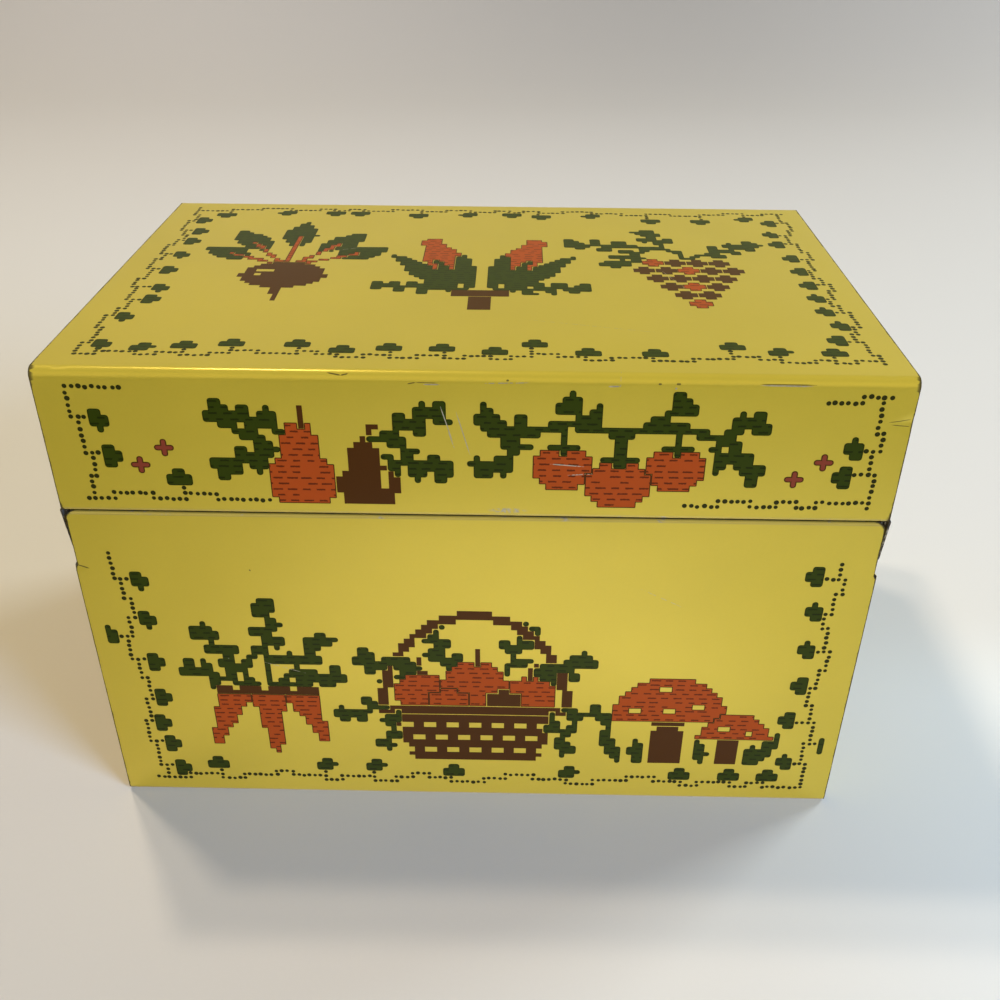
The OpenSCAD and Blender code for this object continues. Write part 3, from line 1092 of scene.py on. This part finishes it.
def corn(c):
    """Two cobs in their husks that lean apart, over a pair of blades"""
    for side in (-1, 1):
        frond(c, 3 * side, 1, 82 * side, 14, 1.1)
        c.taper("orange", (3.5 * side, 5), (9.5 * side, 25), 2.2, 1.6, 2.0)
        c.oval("orange", 9.7 * side, 25.6, 2.0, 2.6, more=True)
        c.taper("green", (4 * side, 0), (16.5 * side, 19), 0.9, 0.2, 1.9)
        c.leaf(2 * side, 1, 4.0 * side, 20, 1.6)
        c.leaf(4 * side, 2, 8.4 * side, 16, 1.2)
    c.block("brown", -5, -2, 5, 1)
    c.block("brown", -2, -8, 2, -2)


def sprig(c, w):
    c.line("green", ((-w, 2), (-w / 2, 3.4), (0, 2.6), (w / 2, 3.4), (w, 2)), 0.6)
    for k, x in enumerate(range(-w + 2, w, 5)):
        frond(c, x, 3, 38 if k % 2 else 140, 6, 0.9)
    for x in (-w / 2 - 1, 1, w / 2 + 2):
        c.oval("orange", x, 6.6, 2.1, 2.1)


def flower(c, x, y):
    """A small flower of four petals"""
    c.count += 1
    for i, j in ((-1, 0), (0, 0), (1, 0), (0, 1), (0, -1)):
        c.cells[x + i, y + j] = ("flower", c.count)


def vine(c, start, heading, length, seed, every, outer=0.0):
    """A stepped line of dots with clover leaves on short stalks at its turns"""
    draw = random.Random(seed)
    x, y = start
    dx, dy = heading
    sx, sy = -dy, dx
    level, turns = 0, 0
    c.dots.add((x, y))
    left = length
    while left > 0:
        for _ in range(min(left, draw.randint(3, 6))):
            x, y, left = x + dx, y + dy, left - 1
            c.dots.add((x, y))
        if left < 3:
            continue
        side = 1 if level == 0 else draw.choice((-1, -1, 1)) if level < 2 else -1
        x, y, level = x + sx * side, y + sy * side, level + side
        c.dots.add((x, y))
        turns += 1
        if turns % every == 0:
            out = -1 if level == 0 and draw.random() < outer else 1
            stalk = draw.choice((1, 1, 2))
            leaf = []
            for row, (low, high) in enumerate(draw.choice(CLOVERS), stalk + 1):
                for k in range(low, high + 1):
                    leaf.append((x + out * (sx * row - sy * k), y + out * (sy * row + sx * k)))
            if c.free(leaf):
                c.dots.update((x + sx * out * k, y + sy * out * k) for k in range(1, stalk + 1))
                c.cells.update((at, ("green", 0)) for at in leaf)


# Leaves of three lobes: the first and last stitch of each row, row by row the way they grow
CLOVERS = (
    ((-1, 2), (-1, 2), (0, 1)),
    ((-2, 1), (-2, 1), (-1, 0)),
    ((-1, 1), (-2, 1), (-1, 0)),
)


def frame_vine(c, right, low, high, seed, every=3):
    """A vine all round a panel"""
    vine(c, (-right, low), (1, 0), 2 * right, seed, every)
    vine(c, (right, low), (0, 1), high - low, seed + 1, every - 1)
    vine(c, (right, high), (-1, 0), 2 * right, seed + 2, every)
    vine(c, (-right, high), (0, -1), high - low, seed + 3, every - 1)


def panel_places():
    """Each printed panel: the body it is on, its origin, its two directions and the way it faces"""
    x, y, z = Vector((1, 0, 0)), Vector((0, 1, 0)), Vector((0, 0, 1))
    places = {}
    for name, across, facing, reach in (
        ("front", x, -y, HALF_D), ("back", -x, y, HALF_D), ("right", y, x, HALF_W), ("left", -y, -x, HALF_W)
    ):
        places[name] = (BODY, facing * reach, across, z, facing)
        places["lid " + name] = (LID, facing * reach + z * SEAM_Z, across, z, facing)
    places["top"] = (LID, z * TOP_Z, x, y, z)
    return places


def panels_of(body, charts):
    """The chart and the place of each panel on a body"""
    return [(name, charts[name], place) for name, place in panel_places().items() if place[0] == body]


def draw_charts():
    """The pattern of every panel, in stitches from its origin: motifs first, then the vines round them"""
    charts = {name: Chart() for name in panel_places()}
    c = charts["front"]
    basket(c.at(0, 9))
    carrots(c.at(-36, 10))
    mushrooms(c.at(37, 9))
    vine(c, (-59, 3), (1, 0), 118, 11, 2)
    vine(c, (59, 3), (0, 1), 50, 12, 1, 0.4)
    vine(c, (-59, 53), (0, -1), 50, 13, 1, 0.4)
    c = charts["lid front"]
    pears(c.at(-22, 1))
    tomatoes(c.at(22, 1))
    for x, y in ((-51, 8), (-47, 11), (52, 10), (48, 7)):
        flower(c, x, y)
    for row in (
        ((-60, 20), (0, -1), 18, 21, 1), ((-60, 2), (1, 0), 28, 22, 1), ((-52, 21), (-1, 0), 8, 25, 2),
        ((32, 2), (1, 0), 28, 23, 1), ((60, 2), (0, 1), 18, 24, 1), ((60, 21), (-1, 0), 9, 26, 2),
    ):
        vine(c, *row)
    c = charts["top"]
    beet(c.at(-35, -6))
    corn(c.at(0, -9))
    grapes(c.at(37, -9))
    frame_vine(c, 60, -37, 37, 31, 2)
    for name, seed, left, right in (("left", 41, pears, mushrooms), ("right", 51, carrots, pears)):
        c = charts[name]
        left(c.at(-16, 9))
        right(c.at(16, 9, -1))
        frame_vine(c, 34, 4, 45, seed)
        c = charts["lid " + name]
        sprig(c.at(-18, 11), 10)
        sprig(c.at(18, 11), 10)
        vine(c, (-34, 4), (1, 0), 68, seed + 5, 3)
    c = charts["back"]
    mushrooms(c.at(-37, 9, -1))
    beet(c.at(0, 15))
    carrots(c.at(37, 10))
    frame_vine(c, 56, 4, 48, 61)
    c = charts["lid back"]
    for x in (-34, 0, 34):
        sprig(c.at(x, 12), 14)
    vine(c, (-56, 5), (1, 0), 112, 71, 3)
    for name, chart in charts.items():
        trim(chart, *flat_part(name))
    return charts


def flat_part(name):
    """The flat part of a panel that can be printed, as its half width, lowest and highest place"""
    s = bpy.context.scene.tin_sizes
    edge = 1.5 * MM
    on_end = "left" in name or "right" in name
    side = HALF_D - s.sheet - s.end_bend_r if on_end else HALF_W - s.strip_inset
    if name == "top":
        return side - edge, -HALF_D + s.lid_fold_r, HALF_D - s.lid_fold_r
    if name.startswith("lid"):
        return side - edge, edge, TOP_Z - SEAM_Z - s.lid_fold_r
    high = SKIRT_LOW_Z - s.skirt_gap - s.shoulder_h if on_end else BODY_EDGE_Z - edge
    return side - edge, s.body_fold_r + 0.3 * MM, high


def trim(chart, half, low, high):
    """Leave out the stitches that reach beyond the flat part of the panel"""
    stitch = bpy.context.scene.print_sizes.stitch

    def fits(at):
        i, j = at
        across = -half <= i * stitch and (i + 1) * stitch <= half
        return across and low <= j * stitch and (j + 1) * stitch <= high

    chart.cells = {at: value for at, value in chart.cells.items() if fits(at)}
    chart.dots = {at for at in chart.dots if fits(at)}


def flat_shape(cells, round_r, gap, outline):
    """One shape of stitches as a flat mesh, with rounded outer corners and a ring for its outline"""
    bm = bmesh.new()
    shared = {}
    for i, j in sorted(cells):
        ring = []
        for k, (dx, dy) in enumerate(((0, 0), (1, 0), (1, 1), (0, 1))):
            sx, sy = 2 * dx - 1, 2 * dy - 1
            x, y = i + dx, j + dy
            if (i + sx, j) in cells or (i, j + sy) in cells:
                if (x, y) not in shared:
                    shared[x, y] = bm.verts.new((x, y, 0))
                ring.append(shared[x, y])
                continue
            for step in range(CORNER_STEPS + 1):
                a = math.radians(180 + 90 * k + 90 * step / CORNER_STEPS)
                arc = (x - sx * round_r + round_r * math.cos(a), y - sy * round_r + round_r * math.sin(a), 0)
                ring.append(bm.verts.new(arc))
        bm.faces.new(ring)
    bm.normal_update()
    if gap:
        bmesh.ops.delete(bm, geom=inset(bm, gap), context="FACES")
        bm.normal_update()
    if outline:
        for face in inset(bm, outline):
            face.material_index = 1
    return bm


def inset(bm, thickness):
    """The faces of a new rim just inside the shape's edge"""
    made = bmesh.ops.inset_region(
        bm, faces=bm.faces[:], use_boundary=True, use_even_offset=True, thickness=thickness
    )
    return made["faces"]


class InkMesh:
    """Gathers flat shapes as thin closed pads on the panels"""

    def __init__(self, proud, sunk):
        self.verts, self.faces, self.materials, self.uvs = [], [], [], []
        self.proud, self.sunk = proud, sunk

    def add(self, bm, place, stitch, shift):
        sizes = bpy.context.scene.tin_sizes
        _, origin, u, v, facing = place
        base = len(self.verts)
        flat = []
        for vert in bm.verts:
            vert.index = len(flat)
            flat.append((vert.co.x, vert.co.y))
            p = origin + u * (vert.co.x * stitch + shift[0]) + v * (vert.co.y * stitch + shift[1])
            self.verts.append(warped(p + facing * self.proud, sizes))
            self.verts.append(warped(p - facing * self.sunk, sizes))
        for face in bm.faces:
            loop = [vert.index for vert in face.verts]
            self.put([(base + 2 * n, flat[n]) for n in loop], face.material_index)
            self.put([(base + 2 * n + 1, flat[n]) for n in reversed(loop)], face.material_index)
            for edge_loop in face.loops:
                if edge_loop.edge.is_boundary:
                    a, b = edge_loop.vert.index, edge_loop.link_loop_next.vert.index
                    corners = (2 * a + 1, a), (2 * b + 1, b), (2 * b, b), (2 * a, a)
                    self.put([(base + k, flat[n]) for k, n in corners], face.material_index)

    def put(self, corners, material):
        self.faces.append([k for k, _ in corners])
        self.uvs += [uv for _, uv in corners]
        self.materials.append(material)

    def finish(self, name, body, materials):
        mesh = bpy.data.meshes.new(name)
        mesh.from_pydata(self.verts, [], self.faces)
        layer = mesh.uv_layers.new(name="stitches")
        layer.data.foreach_set("uv", np.array(self.uvs, dtype=np.float32).ravel())
        mesh.polygons.foreach_set("material_index", self.materials)
        smooth_shading(mesh)
        for material in materials:
            mesh.materials.append(ink_material(material))
        new_object(name, mesh, body)


def build_prints(charts):
    """Every colour of the pattern as one piece on each body"""
    sizes = bpy.context.scene.print_sizes
    # For each ink: its materials, slot, rounding, gap, outline, shift from the stitches, and height
    inks = {
        "green": (("green", "green edge"), "green_print", 1.36, 0.0, 1.0, (0.05, -0.06), 1.25),
        "orange": (("orange", "dark outline"), "orange_print", 0.5, 0.0, 1.0, (-0.05, 0.05), 1.1),
        "brown": (("brown", "dark outline"), "brown_print", 0.4, 0.08, 0.0, (0.0, 0.0), 0.9),
        "flower": (("flower", "dark outline"), "orange_print", 1.36, 0.0, 1.2, (0.0, 0.0), 1.0),
    }
    for body in (BODY, LID):
        for ink, (materials, slot, rounding, gap, outline, shift, height) in inks.items():
            mesh = InkMesh(sizes.proud * height, sizes.sunk)
            for _, chart, place in panels_of(body, charts):
                shapes = {}
                for at, (colour, number) in chart.joined().items():
                    if colour == ink:
                        shapes.setdefault(number, set()).add(at)
                for _, cells in sorted(shapes.items()):
                    round_r = rounding * sizes.round_r / sizes.stitch
                    rim = outline * sizes.outline / sizes.stitch
                    bm = flat_shape(cells, round_r, gap, rim)
                    mesh.add(bm, place, sizes.stitch, (shift[0] * MM, shift[1] * MM))
                    bm.free()
            if mesh.faces:
                mesh.finish(f"{body}_{ink}_print", body, materials)


def dots_tree():
    """Round dots on points, each facing the way its point says"""
    tree = bpy.data.node_groups.new("Border dots", "GeometryNodeTree")
    for name, kind, default in (
        ("Geometry", "Geometry", None),
        ("Diameter", "Float", 0.00078),
        ("Height", "Float", 0.00005),
        ("Variation", "Float", 0.13),
        ("Seed", "Int", 7),
        ("Ink", "Material", None),
    ):
        add_socket(tree, name, kind, default)
    add_socket(tree, "Geometry", "Geometry", in_out="OUTPUT")
    w = Wiring(tree)
    given = w.values(w.node("NodeGroupInput"))
    points = w.value("GeometryNodeMeshToPoints", "Points", {"Mesh": given["Geometry"]})
    round_plate = {"Vertices": 10, "Radius": given["Diameter"] * 0.5, "Depth": given["Height"]}
    disc = w.value("GeometryNodeMeshCylinder", "Mesh", round_plate)
    named = {"Name": "facing"}
    facing = w.value("GeometryNodeInputNamedAttribute", "Attribute", named, data_type="FLOAT_VECTOR")
    turn = w.value("FunctionNodeAlignRotationToVector", "Rotation", {"Vector": facing}, axis="Z")
    size = w.node("FunctionNodeRandomValue", {"Seed": given["Seed"]}, data_type="FLOAT")
    low, high = [socket for socket in size.inputs if socket.enabled and socket.name in ("Min", "Max")]
    w.join(1.0 - given["Variation"], low)
    w.join(given["Variation"] + 1.0, high)
    scale = Value(w, [socket for socket in size.outputs if socket.enabled][0])
    on_points = {"Points": points, "Instance": disc, "Rotation": turn, "Scale": scale}
    dots = w.value("GeometryNodeInstanceOnPoints", "Instances", on_points)
    real = w.value("GeometryNodeRealizeInstances", "Geometry", {"Geometry": dots})
    inked = {"Geometry": real, "Material": given["Ink"]}
    w.node("NodeGroupOutput", {"Geometry": w.value("GeometryNodeSetMaterial", "Geometry", inked)})
    return tree


def set_input(modifier, name, value):
    for item in modifier.node_group.interface.items_tree:
        if item.item_type == "SOCKET" and item.in_out == "INPUT" and item.name == name:
            modifier[item.identifier] = value


def build_dots(charts):
    """The dotted stems of the border, one piece on each body"""
    sizes = bpy.context.scene.print_sizes
    tin = bpy.context.scene.tin_sizes
    tree = dots_tree()
    for body in (BODY, LID):
        points, normals = [], []
        for name, chart, (_, origin, u, v, facing) in panels_of(body, charts):
            draw = random.Random(name)
            for x, y in sorted(chart.dots - set(chart.cells)):
                du, dv = [draw.uniform(-DOT_SHIFT, DOT_SHIFT) for _ in range(2)]
                p = origin + u * (x + 0.5 + du) * sizes.stitch + v * (y + 0.5 + dv) * sizes.stitch
                points.append(warped(p, tin))
                normals.append(facing)
        mesh = bpy.data.meshes.new("Dot places")
        mesh.from_pydata(points, [], [])
        layer = mesh.attributes.new("facing", "FLOAT_VECTOR", "POINT")
        layer.data.foreach_set("vector", np.array(normals, dtype=np.float32).ravel())
        source = linked("dot_places", mesh)
        modifier = source.modifiers.new("Dots", "NODES")
        modifier.node_group = tree
        set_input(modifier, "Diameter", sizes.dot)
        set_input(modifier, "Height", sizes.proud * 2)
        set_input(modifier, "Ink", ink_material("stem"))
        dots = bpy.data.meshes.new_from_object(source.evaluated_get(bpy.context.evaluated_depsgraph_get()))
        dots.name = f"{body}_border_dots"
        bpy.data.objects.remove(source)
        new_object(f"{body}_border_dots", dots, body)


class BuildPrint(bpy.types.Operator):
    """Print the stitched fruit and vegetables and the dotted vines on every panel"""

    bl_idname = "recipe_box.print"
    bl_label = "Stitched print"

    def execute(self, context):
        charts = draw_charts()
        build_prints(charts)
        build_dots(charts)
        return {"FINISHED"}


# Stage


def camera_matrix(stage):
    at = Vector(stage.camera_at)
    ahead = (Vector(stage.camera_aim) - at).normalized()
    right = ahead.cross(Vector((0, 0, 1))).normalized()
    up = right.cross(ahead)
    c, s = math.cos(stage.camera_roll), math.sin(stage.camera_roll)
    matrix = Matrix((c * right + s * up, -s * right + c * up, -ahead)).transposed().to_4x4()
    matrix.translation = at
    return matrix


def build_camera(stage):
    data = bpy.data.cameras.new("Camera")
    data.lens = stage.lens
    data.sensor_fit = "HORIZONTAL"
    data.sensor_width = 36.0
    data.clip_start = 0.01
    camera = linked("Camera", data)
    camera.matrix_world = camera_matrix(stage)
    bpy.context.scene.camera = camera


def pale_paper(w, shader, place):
    """Pale paper with painted light and shade by its place: lighter farther back and to the right in front,
    darker at the back on the right and, for the camera, under the windows; reflections see a painted tone,
    dimmer away from the box, and a painted glow near its front foot
    """
    fibre = w.noise(place, 1200.0, 3.0, 0.6)
    x, y, z = w.split(place)
    black, dim = (0.0, 0.0, 0.0), (0.08, 0.075, 0.065)
    tone = w.mix(w.smooth(y, 0.10, 0.75), (0.672, 0.646, 0.596), (0.82, 0.75, 0.70))
    tone = w.mix(fibre * 0.06, tone, (0.9, 0.9, 0.9))
    # Painted shade: darker towards the back, the more so on the right
    tone = w.mix(w.smooth(y, 0.0, 0.9) * w.smooth(x, -0.45, 0.2, 0.03, 0.5), tone, black)
    # Painted light: lighter, cooler paper to the right in front of the box
    tone = w.mix(w.smooth(x, 0.03, 0.12) * w.smooth(y, 0.02, -0.02), tone, (0.755, 0.76, 0.735))
    tone = w.mix(w.smooth(z, 0.05, 0.15, 0.0, 0.30), tone, (0.74, 0.66, 0.10))
    ray = w.values(w.node("ShaderNodeLightPath"))
    # Painted shade under the two windows, seen by the camera only
    for near, low, high in (((1.016, -0.824, 0.0), 0.25, 1.15), ((1.09, 0.60, 0.0), 0.15, 0.55)):
        under = w.smooth(w.vector("DISTANCE", place, near), low, high, 0.82, 0.0)
        tone = w.mix(under * ray["Is Camera Ray"], tone, black)
    # Painted reflection: reflections in front of the box see a tone that is dimmer away from the box and at
    # its sides, and a painted glow near its front foot
    away = w.smooth(w.vector("DISTANCE", place, (0.03, 0.0, 0.0)), 0.125, 0.23)
    in_front = ray["Is Glossy Ray"] * w.smooth(y, -0.02, -0.06)
    beside = w.smooth(x, 0.03, 0.08, 0.0, 0.42) + w.smooth(x, -0.03, -0.08, 0.0, 0.52)
    seen = w.mix(away, (0.95, 0.93, 0.88), dim)
    seen = w.mix(beside * w.smooth(y, -0.16, -0.11), seen, dim)
    foot = w.smooth(w.vector("DISTANCE", place, (0.015, -0.05, 0.0)), 0.10, 0.03)
    w.feed(shader, {
        "Base Color": w.mix(in_front, tone, seen),
        "Emission Color": (0.95, 0.88, 0.70, 1.0),
        "Emission Strength": in_front * foot * 0.35,
        "Roughness": 0.85,
        "Specular IOR Level": 0.2,
    })
    w.bump(shader, 0.3, fibre * (0.03 * MM))


def build_floor():
    """A sheet of paper that lies flat and rises behind the box"""
    bm = bmesh.new()
    reach, back, radius, height, steps = 1.6, 0.6, 0.5, 1.4, 12
    profile = [(-reach, 0.0), (back, 0.0)]
    for k in range(1, steps + 1):
        a = math.radians(90 * k / steps)
        profile.append((back + radius * math.sin(a), radius * (1 - math.cos(a))))
    profile.append((back + radius, height))
    rows = [[bm.verts.new((x, y, z)) for x in (-reach, reach)] for y, z in profile]
    for a, b in zip(rows, rows[1:]):
        bm.faces.new((a[0], a[1], b[1], b[0]))
    mesh = bpy.data.meshes.new("Paper floor")
    bm.to_mesh(mesh)
    bm.free()
    mesh.polygons.foreach_set("use_smooth", [True] * len(mesh.polygons))
    mesh.materials.append(surface("Pale paper", pale_paper))
    floor = linked("paper_floor", mesh)


def build_lamps(stage):
    """Soft lamps aimed at the box, some of them hidden from one kind of ray"""
    aim = Vector((0, 0, 0.03))
    small, tall = (0.045, 0.045), (0.5, 0.7)
    warm = (1.0, 0.86, 0.684)
    for name, at, size, power, tint, hidden in (
        ("Lamp behind", (-0.20, 0.194, 0.73), small, stage.lamps, warm, "glossy"),
        ("Lamp beside", (-0.24, 0.116, 0.73), small, stage.lamps, warm, "glossy"),
        ("Glint lamp", (-0.198, 0.194, 0.73), (0.10, 0.03), stage.glint, warm, "diffuse"),
        ("Window", (1.016, -0.824, 0.69), tall, stage.window, (0.445, 0.638, 1.0), "glossy"),
        ("Back window", (1.09, 0.706, 0.69), tall, stage.back_window, (0.82, 0.93, 1.0), "glossy"),
        ("Front light", (0.0, -1.2, 0.24), (2.4, 0.4), stage.front, (1.0, 0.70, 0.20), "glossy"),
        ("High front light", (0.0, -1.3, 0.60), (2.0, 1.2), stage.high_front, (1.0, 0.76, 0.32), None),
    ):
        data = bpy.data.lights.new(name, "AREA")
        data.shape = "RECTANGLE"
        data.size, data.size_y = size
        data.energy = power
        data.color = tint
        lamp = linked(name, data)
        lamp.location = at
        lamp.rotation_euler = (aim - Vector(at)).to_track_quat("-Z", "Y").to_euler()
        if hidden:
            setattr(lamp, "visible_" + hidden, False)


def build_world(stage):
    world = bpy.data.worlds.new("Even light")
    bpy.context.scene.world = world
    world.use_nodes = True
    w = Wiring(world.node_tree)
    ray = w.values(w.node("ShaderNodeLightPath"))
    reflected, seen = ray["Is Glossy Ray"], ray["Is Camera Ray"]
    tint = w.mix(reflected, (1.0, 0.72, 0.12), (1.0, 0.92, 0.72))
    w.feed(world.node_tree.nodes["Background"], {
        "Color": w.mix(seen, tint, (0.58, 0.56, 0.53)),
        "Strength": seen * (1.0 - stage.sky) + (reflected * (0.45 - stage.sky) + stage.sky),
    })


# Operators


class BuildHinge(bpy.types.Operator):
    """Give the hinge wire its drawn steel finish"""

    bl_idname = "recipe_box.hinge"
    bl_label = "Hinge wire"

    def execute(self, context):
        wire = frame["nodes"]["hinge_wire"]
        wire.data.materials.clear()
        wire.data.materials.append(surface("Steel wire", steel_wire))
        return {"FINISHED"}


class BuildStrips(bpy.types.Operator):
    """Fold the two long strips: front, base and back of the body, and front, top and back of the lid"""

    bl_idname = "recipe_box.strips"
    bl_label = "Folded strips"

    def execute(self, context):
        s = context.scene.tin_sizes
        near = (s.loop_pitch - s.loop_w) / 2
        far = near + s.loop_w
        tabs = [(-far, -near), (near, far)]
        build_strip("body_strip_sheet", BODY, SEAM_Z, BODY_EDGE_Z, s.body_fold_r, tabs)
        lid_h = TOP_Z - SEAM_Z
        half = HALF_HINGE_L - s.wire_end
        inner, outer = near - s.tab_gap, far + s.tab_gap
        tabs = [(-half, -outer), (-inner, inner), (outer, half)]
        build_strip("lid_strip_sheet", LID, lid_h, lid_h - s.seam_gap / 2, s.lid_fold_r, tabs)
        return {"FINISHED"}


class BuildEnds(bpy.types.Operator):
    """Bend the four end panels with their flanges, neck and skirt"""

    bl_idname = "recipe_box.ends"
    bl_label = "End panels"

    def execute(self, context):
        for body in (BODY, LID):
            for word, side in (("left", -1), ("right", 1)):
                build_end(f"{body}_end_{word}_sheet", body, side)
        return {"FINISHED"}


class BuildStage(bpy.types.Operator):
    """Set up the camera, the paper floor and the soft lights"""

    bl_idname = "recipe_box.stage"
    bl_label = "Stage"

    def execute(self, context):
        stage = context.scene.stage_settings
        build_camera(stage)
        build_floor()
        build_world(stage)
        build_lamps(stage)
        context.scene.view_settings.view_transform = "Standard"
        return {"FINISHED"}


class RecipeBoxPanel(bpy.types.Panel):
    """Sizes, colours and steps of the recipe card box"""

    bl_label = "Recipe card box"
    bl_idname = "VIEW3D_PT_recipe_box"
    bl_space_type = "VIEW_3D"
    bl_region_type = "UI"
    bl_category = "Recipe box"

    def draw(self, context):
        for word in GROUPS:
            group = getattr(context.scene, word)
            self.layout.label(text=word.replace("_", " ").capitalize())
            for name in group.__annotations__:
                self.layout.prop(group, name)
        for step in STEPS:
            self.layout.operator(step.bl_idname)


STEPS = (BuildStage, BuildHinge, BuildStrips, BuildEnds, BuildPrint)
GROUPS = {
    "tin_sizes": TinSizes,
    "print_sizes": PrintSizes,
    "paint_colours": PaintColours,
    "stage_settings": StageSettings,
}


def register():
    for cls in (*GROUPS.values(), *STEPS, RecipeBoxPanel):
        bpy.utils.register_class(cls)
    for name, cls in GROUPS.items():
        setattr(bpy.types.Scene, name, bpy.props.PointerProperty(type=cls))


def unregister():
    for name in GROUPS:
        delattr(bpy.types.Scene, name)
    for cls in reversed((*GROUPS.values(), *STEPS, RecipeBoxPanel)):
        bpy.utils.unregister_class(cls)


def main():
    register()
    bpy.ops.recipe_box.stage()
    bpy.ops.recipe_box.hinge()
    bpy.ops.recipe_box.strips()
    bpy.ops.recipe_box.ends()
    bpy.ops.recipe_box.print()


if __name__ == "__main__":
    main()
